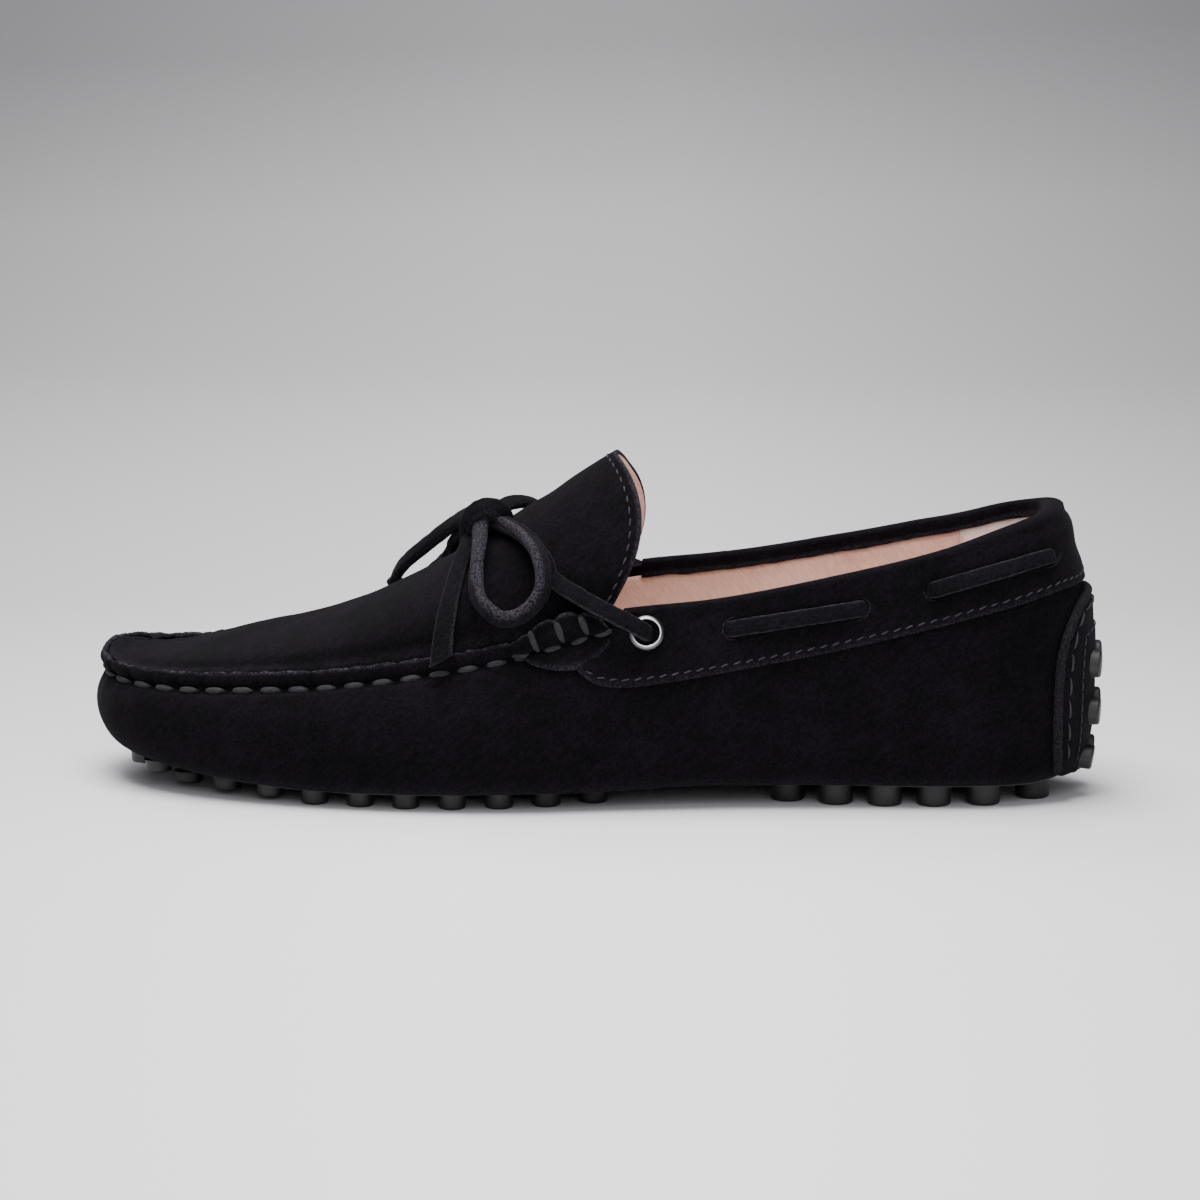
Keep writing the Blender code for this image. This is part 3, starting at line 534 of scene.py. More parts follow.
def quads(nu, nv, loop_u=False, loop_v=False, flip=False, start=0):
    faces = []
    for u in range(nu if loop_u else nu - 1):
        for v in range(nv if loop_v else nv - 1):
            a = start + u * nv + v
            b = start + (u + 1) % nu * nv + v
            a1 = start + u * nv + (v + 1) % nv
            b1 = start + (u + 1) % nu * nv + (v + 1) % nv
            faces.append((a, b, b1, a1) if flip else (a, a1, b1, b))
    return faces


def piece(name, points, faces, material, marks=None, smooth=60):
    """Mesh object at the origin; marks are named values, one for each point."""
    mesh = bpy.data.meshes.new(name)
    mesh.from_pydata([tuple(map(float, p)) for p in points], [], faces)
    mesh.materials.append(material)
    for key, values in (marks or {}).items():
        mark = mesh.attributes.new(key, "FLOAT", "POINT")
        mark.data.foreach_set("value", np.asarray(values, np.float32).ravel())
    mesh.shade_smooth()
    if smooth:
        mesh.set_sharp_from_angle(angle=math.radians(smooth))
    thing = bpy.data.objects.new(name, mesh)
    bpy.context.scene.collection.objects.link(thing)
    return thing


def sole_table():
    """Underside, outer edge and inner edge of the sole along the shoe."""
    xs = np.linspace(FRONT_X, FRONT_X + UPPER_LENGTH, 240)
    base = np.array([underside(float(x)) for x in xs])
    edges = []
    for side in (-1, 1):
        points = arr([sole_edge(side * float(s)) for s in np.arange(0.05, HEEL_STATION, 0.1)])
        edges.append(np.interp(xs, points[:, 0], points[:, 1]))
    return xs, base, edges[0], edges[1]


# Moves towards the photograph: places along the shoe, as shares of its length or in
# millimetres, and the rise at each in millimetres
SOLE_LIFT = (
    (0, 0.06, 0.15, 0.3, 0.45, 0.56, 0.66, 1),
    (0.2, 0.3, 0.9, 1.9, 2.2, 1.8, 1.3, 1.3),
)
INNER_TOP_RISE = ((-8, 3, 34, 62, 90, 108, 126), (0, 2.0, 2.7, 2.5, 1.7, 0.3, -0.6))
TOE_SEAM_RISE = ((-139, -134, -129, -121, -110, -95), (1.2, 0.9, 0, -0.8, -0.7, 0))
HEEL_TOP_DROP = 0.0009
TOE_DROP = 0.0015
TOE_STRETCH = 0.0027
TOE_RIDGE_STRETCH = 0.0017


def settle(points):
    """Small moves towards the photograph, the same for every piece.

    The sole's edge is rounded up round the studs, the inner topline stands a
    little higher, the heel's top and the toe a little lower, and the toe is
    drawn forwards.
    """
    x, y, z = np.array(points, float).T
    xs, base, outer, inner = SOLE
    above_sole = z - np.interp(x, xs, base)
    low, high = np.interp(x, xs, outer), np.interp(x, xs, inner)
    turn = np.clip(np.abs(2 * y - low - high) / np.maximum(high - low, 10 * MM), 0, 1.1)
    near_sole = smooth_step(-2.6 * MM, -0.6 * MM, above_sole)
    near_sole = near_sole * smooth_step(15 * MM, 2 * MM, above_sole)
    lift = np.interp((x - FRONT_X) / UPPER_LENGTH, *SOLE_LIFT) * MM
    z = z + lift * near_sole * (0.3 + 0.7 * turn**2)
    inner_top = smooth_step(40 * MM, 56 * MM, z) * smooth_step(12 * MM, 26 * MM, y)
    z = z + inner_top * np.interp(x / MM, *INNER_TOP_RISE) * MM
    at_heel = smooth_step(108 * MM, 128 * MM, x) * smooth_step(62 * MM, 76 * MM, z)
    z = z - HEEL_TOP_DROP * at_heel
    upper_half = smooth_step(16 * MM, 34 * MM, z)
    inner_toe = smooth_step(3 * MM, 15 * MM, y) * upper_half
    z = z + inner_toe * np.interp(x / MM, *TOE_SEAM_RISE) * MM
    z = z - TOE_DROP * smooth_step(-82 * MM, -128 * MM, x) * upper_half
    at_ridge = smooth_step(-118 * MM, -138 * MM, x) * smooth_step(29 * MM, 36 * MM, z)
    x = x - TOE_STRETCH * smooth_step(-80 * MM, FRONT_X, x) - TOE_RIDGE_STRETCH * at_ridge
    return np.stack([x, y, z], axis=1)


def wear(thing, body_slot, *nodes):
    """Settles a finished piece, ties it to the body and hides the parts it replaces; its material
    slot argument is not used.
    """
    count = len(thing.data.vertices)
    spots = np.empty(count * 3)
    thing.data.vertices.foreach_get("co", spots)
    thing.data.vertices.foreach_set("co", settle(spots.reshape(-1, 3)).ravel())
    thing.data.update()
    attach(thing, "root")
    if nodes:
        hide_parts(*nodes)
    return thing


def turn_out(thing):
    work = bmesh.new()
    work.from_mesh(thing.data)
    bmesh.ops.recalc_face_normals(work, faces=work.faces)
    work.to_mesh(thing.data)
    work.free()


def thicken(thing, thickness, rim=None):
    """Wall grown inwards from an open surface, with its rim in another material."""
    wall = thing.modifiers.new("Wall", "SOLIDIFY")
    wall.thickness = thickness
    wall.offset = -1
    wall.use_even_offset = False
    if rim:
        thing.data.materials.append(rim)
        wall.material_offset_rim = 1


def ripple(points, size):
    """Smooth noise at each point, with features of one size in metres."""
    flat = np.asarray(points).reshape(-1, 3) / size
    values = [noise.noise(Vector(p)) for p in flat]
    return np.array(values).reshape(np.asarray(points).shape[:-1])


def smooth_step(low, high, value):
    share = np.clip((value - low) / (high - low), 0, 1)
    return share * share * (3 - 2 * share)


def through(points, steps):
    """Smooth curve through a few points."""
    fine = []
    for k in range(len(points) - 1):
        a = points[max(k - 1, 0)]
        b, c = points[k], points[k + 1]
        d = points[min(k + 2, len(points) - 1)]
        for n in range(steps):
            fine.append(hermite(b, c, (c - a) / 2, (d - b) / 2, n / steps))
    return [*fine, points[-1]]


SOLE = sole_table()


# Materials
def colour(code):
    """Linear colour from an sRGB hex code."""
    parts = [int(code[k : k + 2], 16) / 255 for k in (0, 2, 4)]
    return (*(p / 12.92 if p <= 0.04045 else ((p + 0.055) / 1.055) ** 2.4 for p in parts), 1)


def put(tree, kind, inputs=None, **settings):
    """Adds a node with its settings, values and links; colours may be hex codes."""
    node = tree.nodes.new(kind)
    for name, value in settings.items():
        setattr(node, name, value)
    for name, value in (inputs or {}).items():
        socket = node.inputs[name]
        if isinstance(value, bpy.types.NodeSocket):
            tree.links.new(value, socket)
        elif socket.type == "RGBA":
            socket.default_value = colour(value)
        else:
            socket.default_value = value
    return node


def begin(name, values):
    """New material with values set on its shader."""
    material = bpy.data.materials.new(name)
    material.use_nodes = True
    tree = material.node_tree
    shader = tree.nodes["Principled BSDF"]
    for key, value in values.items():
        shader.inputs[key].default_value = colour(value) if isinstance(value, str) else value
    return material, tree, shader


def brushed_suede(name, dark, light, raw):
    """Split calf leather with a brushed nap: dull, mottled, paler where it is cut or rubbed."""
    material, tree, shader = begin(
        name,
        {
            "Roughness": 0.95,
            "Specular IOR Level": 0.04,
            "Sheen Weight": 0.035,
            "Sheen Roughness": 0.4,
            "Sheen Tint": "b4aeb8",
        },
    )
    place = put(tree, "ShaderNodeTexCoord").outputs["Object"]
    turned_nap = put(tree, "ShaderNodeMapping", {"Vector": place, "Rotation": (0.3, 0.7, 0.2)})
    nap = put(
        tree, "ShaderNodeMapping", {"Vector": turned_nap.outputs[0], "Scale": (0.5, 0.8, 1.8)}
    ).outputs[0]
    # sizes in millimetres; fibres of the nap are under 0.1 mm, drawn coarser so that they show
    patches, strokes, grain, fibres, fleece = (
        put(
            tree,
            "ShaderNodeTexNoise",
            {"Vector": where, "Scale": 1 / (size * MM), "Detail": detail, "Roughness": rough},
        ).outputs["Fac"]
        for where, size, detail, rough in (
            (place, 22, 3, 0.6),
            (nap, 2.6, 4, 0.7),
            (place, 0.8, 4, 0.8),
            (place, 0.42, 2, 0.8),
            (place, 0.6, 1, 0.5),
        )
    )
    cloudy, streaky, grainy, linty, clumped, fleecy = (
        put(
            tree,
            "ShaderNodeMapRange",
            {"Value": value, "From Min": low, "From Max": high, "To Min": least, "To Max": most},
        ).outputs["Result"]
        for value, low, high, least, most in (
            (patches, 0.3, 0.7, 0.3, 0.8),
            (strokes, 0.3, 0.7, 0.5, 1.4),
            (grain, 0.38, 0.62, 0.25, 1.75),
            (fibres, 0.74, 0.78, 0.0, 0.6),
            (grain, 0.5, 0.6, 0.0, 1.0),
            (fleece, 0.42, 0.62, 0.2, 1.15),
        )
    )
    worn = put(tree, "ShaderNodeAttribute", attribute_name="worn").outputs["Fac"]
    mottled = put(tree, "ShaderNodeMath", {0: cloudy, 1: streaky}, operation="MULTIPLY")
    tone, lint, frayed = (
        put(tree, "ShaderNodeMath", {0: first, 1: second}, operation="MULTIPLY").outputs[0]
        for first, second in (
            (mottled.outputs[0], grainy),
            (linty, clumped),
            (worn, fleecy),
        )
    )
    shade = put(tree, "ShaderNodeMix", {0: tone, 6: dark, 7: light}, data_type="RGBA").outputs[2]
    for amount in (lint, frayed):
        paler = put(tree, "ShaderNodeMix", {0: amount, 6: shade, 7: raw}, data_type="RGBA")
        shade = paler.outputs[2]
    tree.links.new(shade, shader.inputs["Base Color"])
    relief = {}
    for height, depth, strength in ((strokes, 0.15, 0.5), (grain, 0.20, 0.6), (fibres, 0.12, 0.7)):
        values = {"Height": height, "Distance": depth * MM, "Strength": strength}
        relief["Normal"] = put(tree, "ShaderNodeBump", {**values, **relief}).outputs[0]
    tree.links.new(relief["Normal"], shader.inputs["Normal"])
    return material


def waxed_thread(name, dark, light):
    """Waxed polyester thread, laid flat: dark grey filaments with a soft shine."""
    material, tree, shader = begin(name, {"Roughness": 0.75, "Specular IOR Level": 0.25})
    place = put(tree, "ShaderNodeTexCoord").outputs["Object"]
    drawn = put(tree, "ShaderNodeMapping", {"Vector": place, "Scale": (0.2, 0.9, 1.3)})
    filaments = put(
        tree,
        "ShaderNodeTexNoise",
        {"Vector": drawn.outputs[0], "Scale": 1 / (0.45 * MM), "Detail": 2, "Roughness": 0.6},
    ).outputs["Fac"]
    tone = put(tree, "ShaderNodeMapRange", {"Value": filaments, "From Min": 0.3, "From Max": 0.7})
    shade = put(
        tree, "ShaderNodeMix", {0: tone.outputs[0], 6: dark, 7: light}, data_type="RGBA"
    )
    tree.links.new(shade.outputs[2], shader.inputs["Base Color"])
    relief = put(
        tree, "ShaderNodeBump", {"Height": filaments, "Distance": 0.06 * MM, "Strength": 0.5}
    )
    tree.links.new(relief.outputs[0], shader.inputs["Normal"])
    return material


def moulded_rubber():
    """Moulded rubber with a satin skin: near black, soft broad highlights."""
    material, tree, shader = begin("moulded_rubber", {"Roughness": 0.48})
    place = put(tree, "ShaderNodeTexCoord").outputs["Object"]
    cloud, grain = (
        put(
            tree,
            "ShaderNodeTexNoise",
            {"Vector": place, "Scale": 1 / (size * MM), "Detail": detail, "Roughness": 0.5},
        ).outputs["Fac"]
        for size, detail in ((6, 3), (0.3, 2))
    )
    tone = put(tree, "ShaderNodeMapRange", {"Value": cloud, "From Min": 0.35, "From Max": 0.7})
    shade = put(
        tree, "ShaderNodeMix", {0: tone.outputs[0], 6: "0b0b0c", 7: "121213"}, data_type="RGBA"
    )
    tree.links.new(shade.outputs[2], shader.inputs["Base Color"])
    dull = put(
        tree,
        "ShaderNodeMapRange",
        {"Value": cloud, "From Min": 0.3, "From Max": 0.7, "To Min": 0.42, "To Max": 0.58},
    )
    tree.links.new(dull.outputs[0], shader.inputs["Roughness"])
    relief = put(tree, "ShaderNodeBump", {"Height": grain, "Distance": 0.05 * MM, "Strength": 0.4})
    tree.links.new(relief.outputs[0], shader.inputs["Normal"])
    return material


def lining_leather(name, first, second):
    """Finished lining leather: smooth nude pink with fine close creases."""
    material, tree, shader = begin(name, {"Roughness": 0.52})
    place = put(tree, "ShaderNodeTexCoord").outputs["Object"]
    slant = put(tree, "ShaderNodeMapping", {"Vector": place, "Rotation": (0, 0.6, 0)})
    drawn = put(
        tree, "ShaderNodeMapping", {"Vector": slant.outputs[0], "Scale": (1.5, 1.5, 0.3)}
    ).outputs[0]
    cloud, creases = (
        put(
            tree,
            "ShaderNodeTexNoise",
            {"Vector": where, "Scale": 1 / (size * MM), "Detail": 3, "Roughness": rough},
        ).outputs["Fac"]
        for where, size, rough in ((place, 16, 0.5), (drawn, 1.1, 0.6))
    )
    pores = put(tree, "ShaderNodeTexVoronoi", {"Vector": place, "Scale": 1 / (0.55 * MM)})
    cloudy, painted_crease_shade = (
        put(
            tree,
            "ShaderNodeMapRange",
            {"Value": value, "From Min": 0.3, "From Max": 0.7, "To Max": most},
        ).outputs[0]
        for value, most in ((cloud, 0.7), (creases, 1.0))
    )
    # Tone is the leather's own cloudy mottle plus painted shade that darkens the crease hollows
    both = put(tree, "ShaderNodeMath", {0: cloudy, 1: painted_crease_shade}, operation="ADD").outputs[0]
    tone = put(tree, "ShaderNodeMapRange", {"Value": both, "From Min": 0.2, "From Max": 1.6})
    shade = put(
        tree, "ShaderNodeMix", {0: tone.outputs[0], 6: first, 7: second}, data_type="RGBA"
    )
    tree.links.new(shade.outputs[2], shader.inputs["Base Color"])
    under = put(
        tree, "ShaderNodeBump", {"Height": creases, "Distance": 0.28 * MM, "Strength": 0.6}
    )
    relief = put(
        tree,
        "ShaderNodeBump",
        {
            "Height": pores.outputs["Distance"],
            "Distance": 0.04 * MM,
            "Strength": 0.5,
            "Normal": under.outputs[0],
        },
    )
    tree.links.new(relief.outputs[0], shader.inputs["Normal"])
    return material


def plated_brass():
    """Nickel-plated brass, polished: bright silver with fine polishing haze; the flange's darker
    grey is a painted dark reflection.
    """
    material, tree, shader = begin("plated_brass", {"Roughness": 0.16, "Metallic": 1.0})
    place = put(tree, "ShaderNodeTexCoord").outputs["Object"]
    haze = put(
        tree,
        "ShaderNodeTexNoise",
        {"Vector": place, "Scale": 1 / (1.2 * MM), "Detail": 3, "Roughness": 0.5},
    ).outputs["Fac"]
    flange = put(tree, "ShaderNodeAttribute", attribute_name="flange").outputs["Fac"]
    # Painted reflection: the outer flange is coloured mid grey in place of the dark surroundings
    # it mirrors
    shade = put(tree, "ShaderNodeMix", {0: flange, 6: "d8d9db", 7: "5f6063"}, data_type="RGBA")
    tree.links.new(shade.outputs[2], shader.inputs["Base Color"])
    hazy = put(
        tree,
        "ShaderNodeMapRange",
        {"Value": haze, "From Min": 0.3, "From Max": 0.7, "To Min": 0.12, "To Max": 0.22},
    )
    rubbed = put(tree, "ShaderNodeMath", {0: flange, 1: 0.2}, operation="MULTIPLY")
    dull = put(
        tree, "ShaderNodeMath", {0: hazy.outputs[0], 1: rubbed.outputs[0]}, operation="ADD"
    )
    tree.links.new(dull.outputs[0], shader.inputs["Roughness"])
    return material


SUEDE = brushed_suede("brushed_suede", "040405", "141116", "3c3940")
LACE_SUEDE = brushed_suede("lace_suede", "050506", "17151a", "38353b")
RAW_EDGE = brushed_suede("cut_suede_edge", "0a090b", "1a181c", "343237")
THREAD = waxed_thread("waxed_thread", "131215", "312f34")
FINE_THREAD = waxed_thread("fine_thread", "1c1a1e", "3f3c42")
RUBBER = moulded_rubber()
LINING = lining_leather("lining_leather", "d8ab98", "efccbd")
# Heel grip and sock leather: partly its own paler pink, partly painted light, made near white to
# make up for the shade inside the heel
HEEL_LINING = lining_leather("heel_lining_leather", "f3ded8", "fdf0ec")
METAL = plated_brass()

make_camera()


# Laces
OUTER_SIDE = Vector((0.1, -0.96, 0.25))
INSTEP_MIDDLE = Vector((-0.02, 0, 0.03))
KNOT_MIDDLE = Vector((-0.030, -0.009, 0.073))
KNOT_CORE_PLACE = Vector((-0.0316, -0.0034, 0.0756))
KNOT_CORE_REACH = Vector((0.0048, 0.0046, 0.0056))
LACE_CORNER = 0.55
# Shares of the outer loop's run, and how far in from its edge the rough side starts there
ROUGH_SIDE = ((0, 0.3, 0.6, 0.75, 1), (0.3, 0.35, 0.35, -0.7, -0.7))


def lace_face(name, point, centre):
    """Way that the lace's smooth broad face looks at a point of its route."""
    if name == "lace_loop_outer":
        return (point - centre).normalized() * 0.72 + OUTER_SIDE * 0.62
    if name == "lace_loop_inner":
        return OUTER_SIDE * 0.9 + Vector((0, 0, 0.5))
    return OUTER_SIDE * 0.9 + (point - INSTEP_MIDDLE).normalized() * 0.7


def squared(value):
    """Cosine or sine drawn outwards, so that a circle gets flat sides and round corners."""
    return math.copysign(abs(value) ** LACE_CORNER, value)


def lace_tube(name, route, face_of, width_of, thick, slant=0.0, steps=6, rough_back=False):
    """Flat lace with round edges along a route; returns the piece and its middle line."""
    line = through([Vector(p) * MM for p in route], steps)
    count = len(line)
    centre = sum(line, Vector()) / count
    around = 20
    rows, worn = [], []
    for k, point in enumerate(line):
        share = k / (count - 1)
        tangent = (line[min(k + 1, count - 1)] - line[max(k - 1, 0)]).normalized()
        face = face_of(point, centre)
        face = (face - tangent * face.dot(tangent)).normalized()
        across = tangent.cross(face)
        width = width_of(share)
        row = []
        for j in range(around):
            angle = 2 * math.pi * j / around
            c, s = math.cos(angle), math.sin(angle)
            c2, s2 = squared(c), squared(s)
            lean = slant * c2 * width * max(0, k - count + 5) / 4
            row.append(point + across * c2 * width / 2 + face * s2 * thick / 2 + tangent * lean)
            if rough_back:
                # the rough side shows on the inner half, and nearly all over the last run
                inner = math.copysign(c2, -c2 * across.dot(point - centre))
                limit = float(np.interp(share, *ROUGH_SIDE))
                mark = float(smooth_step(limit - 0.15, limit + 0.15, inner)) if s > 0 else 1.0
                mark = max(0.12, mark)
            else:
                mark = 0.85 if abs(c) > 0.93 else (0.35 if abs(c) > 0.8 else 0.04)
            worn.append(mark)
        rows.append(row)
    grid = np.array([[tuple(p) for p in row] for row in rows])
    grid = grid + ripple(grid, 1.4 * MM)[..., None] * normals_of(grid, loop_v=True) * 0.16 * MM
    faces = quads(count, around, loop_v=True)
    faces.append(tuple(reversed(range(around))))
    faces.append(tuple((count - 1) * around + j for j in range(around)))
    thing = piece(name, grid.reshape(-1, 3), faces, LACE_SUEDE, {"worn": worn}, smooth=50)
    turn_out(thing)
    return thing, line


def make_laces():
    for name, route in LACE_ROUTES.items():
        def face_of(point, centre, name=name):
            return lace_face(name, point, centre)

        def width_of(share, name=name):
            if "end" in name:
                return LACE_WIDTH * (0.72 + 0.54 * share**1.4)
            return LACE_WIDTH * 0.96

        slant = (0.32 if "outer" in name else -0.32) if "end" in name else 0.0
        thing, line = lace_tube(
            name + "_strip",
            route,
            face_of,
            width_of,
            LACE_THICKNESS,
            slant,
            rough_back="loop_outer" in name,
        )
        wear(thing, "lace_suede", name)


def make_knot():
    """Turn of lace wound round the roots of the loops, and the lace pressed inside it."""
    knot, _ = lace_tube(
        "lace_knot_turn",
        KNOT_ROUTE,
        lambda point, centre: OUTER_SIDE * 0.7 + (point - KNOT_MIDDLE).normalized() * 0.7,
        lambda share: 0.92 * LACE_WIDTH,
        1.25 * LACE_THICKNESS,
    )
    wear(knot, "lace_suede", "lace_knot")
    work = bmesh.new()
    size = Matrix.Diagonal((*KNOT_CORE_REACH, 1))
    shift = Matrix.Translation(KNOT_CORE_PLACE)
    bmesh.ops.create_uvsphere(work, u_segments=32, v_segments=20, radius=1, matrix=shift @ size)
    for point in work.verts:
        swell = noise.noise(point.co / (3 * MM)) * 0.5 * MM
        point.co += (point.co - KNOT_CORE_PLACE).normalized() * swell
    mesh = bpy.data.meshes.new("lace_knot_core")
    work.to_mesh(mesh)
    work.free()
    mesh.materials.append(LACE_SUEDE)
    mesh.shade_smooth()
    core = bpy.data.objects.new("lace_knot_core", mesh)
    bpy.context.scene.collection.objects.link(core)
    wear(core, "lace_suede")


def bar_level(rows, x):
    """Height of a bar's middle line at a place along the shoe."""
    return read_rows(rows, (x - FRONT_X) / UPPER_LENGTH) * COLLAR_HEIGHT


def slot_rim(name, side, rows, end, way):
    """Raised rim round the slot that one end of a bar dives into."""
    rim, ways = [], []
    for k in range(13):
        angle = math.pi * (k / 12 - 0.5)
        x = (end - way * 2.2 + way * 3.6 * math.cos(angle)) * MM
        level = bar_level(rows, x) + 3.1 * MM * math.sin(angle)
        station = station_at(side, x, level)
        rim.append(over_wall(station, level, FIT + BAND_WALL + 0.12 * MM))
        ways.append(outward(station, level))
    wear(outline_tube(name, rim, 0.42 * MM, SUEDE, 0.3, 8, ways), "suede")


def make_bar(side_name, side, name, first, last):
    """One length of lace outside the band, from slot to slot."""
    rows = BAR_ROWS[name]
    clear = FIT + BAND_WALL + 0.42 * LACE_THICKNESS
    plan = [(first - 0.6, -1.6 * MM), (first + 0.1, 0.1 * clear), (first + 1.6, 0.8 * clear)]
    plan += [(float(x), clear) for x in np.linspace(first + 5, last - 5, 5)]
    plan += [(last - 1.6, 0.8 * clear), (last - 0.1, 0.1 * clear), (last + 0.6, -1.6 * MM)]
    spots = []
    for x, lift in plan:
        level = bar_level(rows, x * MM)
        if x < rows[0][0] * UPPER_LENGTH / MM + FRONT_X / MM:
            level -= 0.1 * MM
        spots.append(over_wall(station_at(side, x * MM, level), level, lift) / MM)

    def face_of(point, centre):
        return outward(station_at(side, point.x, point.z), point.z)

    def width_of(share):
        ends = min(1.0, min(share, 1 - share) / 0.26)
        return 0.96 * LACE_WIDTH * (0.25 + 0.75 * math.sqrt(1 - (1 - ends) ** 2))

    title = f"lace_bar_{name}_{side_name}_strip"
    bar, _ = lace_tube(title, spots, face_of, width_of, 0.95 * LACE_THICKNESS, steps=5)
    wear(bar, "lace_suede", f"lace_bar_{name}_{side_name}")
    for end, way in ((first, -1), (last, 1)):
        slot_rim(f"slot_rim_{name}_{side_name}_{way}", side, rows, end, way)


make_knot()
make_laces()


# Soft dents and ridges of the walls: side, x and z in millimetres, run in degrees,
# half length, half width and depth in millimetres
WALL_FOLDS = (
    (-1, -116, 26, 62, 9, 2.6, 0.30),
    (-1, -97, 25, 70, 10, 2.8, 0.26),
    (-1, -66, 24, 24, 22, 6.0, 0.45),
    (-1, -34, 30, 14, 18, 4.0, 0.35),
    (-1, -24, 24, 20, 20, 5.0, -0.25),
    (-1, 4, 33, 8, 18, 3.4, 0.35),
    (-1, 34, 22, 12, 26, 7.0, 0.45),
    (-1, 66, 40, 12, 24, 5.0, 0.28),
    (-1, 92, 34, 78, 16, 6.0, 0.32),
    (1, -88, 27, 18, 18, 5.0, 0.35),
    (1, -40, 30, 12, 22, 5.0, 0.40),
    (1, 18, 28, 6, 24, 5.0, 0.40),
    (1, 70, 34, 16, 26, 6.0, 0.35),
)


def fold_depth(grid, side_of):
    depth = np.zeros(grid.shape[:2])
    for side, x, z, run, half_long, half_wide, deep in WALL_FOLDS:
        c, s = math.cos(math.radians(run)), math.sin(math.radians(run))
        dx, dz = grid[..., 0] / MM - x, grid[..., 2] / MM - z
        lengthways, across = dx * c + dz * s, dz * c - dx * s
        across = across + 0.02 * lengthways**2 / half_long * half_wide / 4
        shape = np.exp(-((lengthways / half_long) ** 2) - (across / half_wide) ** 2)
        depth += deep * MM * shape * (side_of == side)
    return depth


def seam_wave(stations):
    """+1 over each stitch of the moccasin seam and -1 at the holes between them."""
    lengths = np.interp(stations, SEAM_STATIONS, SEAM_LENGTHS)
    return np.cos(2 * math.pi * (lengths / SEAM_PITCH - SEAM_PHASE))


def make_upper():
    fine = np.arange(-8.0, 8.0001, 0.03)
    rear = np.arange(8.06, HEEL_STATION + 0.001, 0.06)
    stations = np.concatenate([-rear[::-1][1:], fine, rear])
    low, high, ridge = 12, 26, 8
    grid = np.array(
        [arr(wall_curve(round(float(s), 5), low, high, ridge)) for s in stations]
    )
    normal = normals_of(grid, loop_u=True)
    levels = grid.shape[1]
    level = np.arange(levels)
    foot_level = low + high
    wave = seam_wave(stations)[:, None]
    seam = smooth_step(7.75, 7.2, np.abs(stations))[:, None]
    below = np.maximum(0, grid[:, foot_level, 2][:, None] - grid[..., 2])
    share = np.clip((level - foot_level) / ridge, 0, 1)[None, :]
    on_ridge = (level >= foot_level)[None, :]
    from_foot = grid[..., 2] - grid[:, foot_level, 2][:, None] + 0.6 * MM
    groove = np.exp(-((from_foot / (0.95 * MM)) ** 2))
    pinch = (0.5 - 0.5 * wave) ** 2
    push = -seam * groove * (0.30 + 0.75 * pinch) * MM
    crease = np.exp(-((1 + wave) ** 2) / 0.30)
    push = push + seam * on_ridge * np.sin(math.pi * share**0.8) * 0.55 * MM
    push = push - seam * on_ridge * crease * (1 - share) ** 0.7 * 0.85 * MM
    fade = np.exp(-below / (4.0 * MM)) * (1 - np.exp(-below / (1.6 * MM)))
    push = push + seam * fade * 0.34 * wave * MM
    side_of = np.sign(stations)[:, None] * np.ones((1, levels))
    push = push - fold_depth(grid, side_of)
    soft = ripple(grid, 26 * MM) * 0.45 + ripple(grid + 3, 9 * MM) * 0.10
    calm = smooth_step(0, 10 * MM, grid[..., 2] - grid[:, :1, 2])
    push = push + soft * calm * MM
    covered = smooth_step(BAND_START + 0.5, BAND_START, np.abs(stations))[:, None]
    share_x = (grid[..., 0] - FRONT_X) / UPPER_LENGTH
    band_foot = np.array([read_rows(BAND_FOOT_ROWS, s) for s in share_x[:, 0]])[:, None]
    under_band = smooth_step(-3 * MM, 0, grid[..., 2] - band_foot * COLLAR_HEIGHT)
    push = np.where(
        (np.abs(stations) > 7.6)[:, None],
        push * np.maximum(covered, 1 - under_band) - 0.15 * MM * under_band * (1 - covered),
        push,
    )
    grid = grid + normal * push[..., None]
    jag = ripple(grid[:, -1:], 2.6 * MM) * 0.35 + ripple(grid[:, -1:], 1.1 * MM) * 0.35
    jag = jag + wave * 0.12 + 0.15
    grid[:, -1:, 2] += seam * jag * MM
    patchy = 0.75 + 0.6 * ripple(grid, 3.2 * MM) + 0.9 * ripple(grid, 1.3 * MM)
    worn = seam * np.clip((level - (foot_level + ridge - 1.5)) / 1.5, 0, 1)[None, :]
    worn = worn * np.clip(patchy, 0.15, 1)
    worn = np.maximum(worn, seam * groove * 0.10)
    low_edge = np.exp(-(((grid[..., 2] - grid[:, :1, 2]) / (2.2 * MM)) ** 2)) * 0.16
    worn = np.maximum(worn, low_edge)
    count = len(stations)
    points = [*grid.reshape(-1, 3)]
    marks = [*worn.ravel()]
    faces = quads(count, levels, loop_u=True)
    toe = int(np.argmin(np.abs(stations)))
    across = 8
    last = [toe * levels]
    half = (count - 1) // 2
    for k in range(1, half + 1):
        outer, inner = (toe - k) % count * levels, (toe + k) % count * levels
        if outer == inner:
            break
        start = len(points)
        a, b = points[outer], points[inner]
        for j in range(1, across):
            point = a + (b - a) * j / across
            point[2] = underside(point[0])
            points.append(point)
            marks.append(0.0)
        row = [outer, *range(start, start + across - 1), inner]
        if len(last) == 1:
            faces += [(last[0], row[j], row[j + 1]) for j in range(across)]
        else:
            faces += [(last[j], row[j], row[j + 1], last[j + 1]) for j in range(across)]
        last = row
    heel = count - 1
    if heel * levels not in (last[0], last[-1]):
        faces += [(last[j], heel * levels, last[j + 1]) for j in range(across)]
    upper = piece("upper_suede", points, faces, SUEDE, {"worn": marks}, smooth=None)
    turn_out(upper)
    middle = upper.data.polygons[len(upper.data.polygons) // 3]
    if middle.normal.dot(middle.center - Vector((0, 0, 0.03))) < 0:
        upper.data.flip_normals()
    thicken(upper, SUEDE_WALL, RAW_EDGE)
    wear(upper, "suede", "upper")


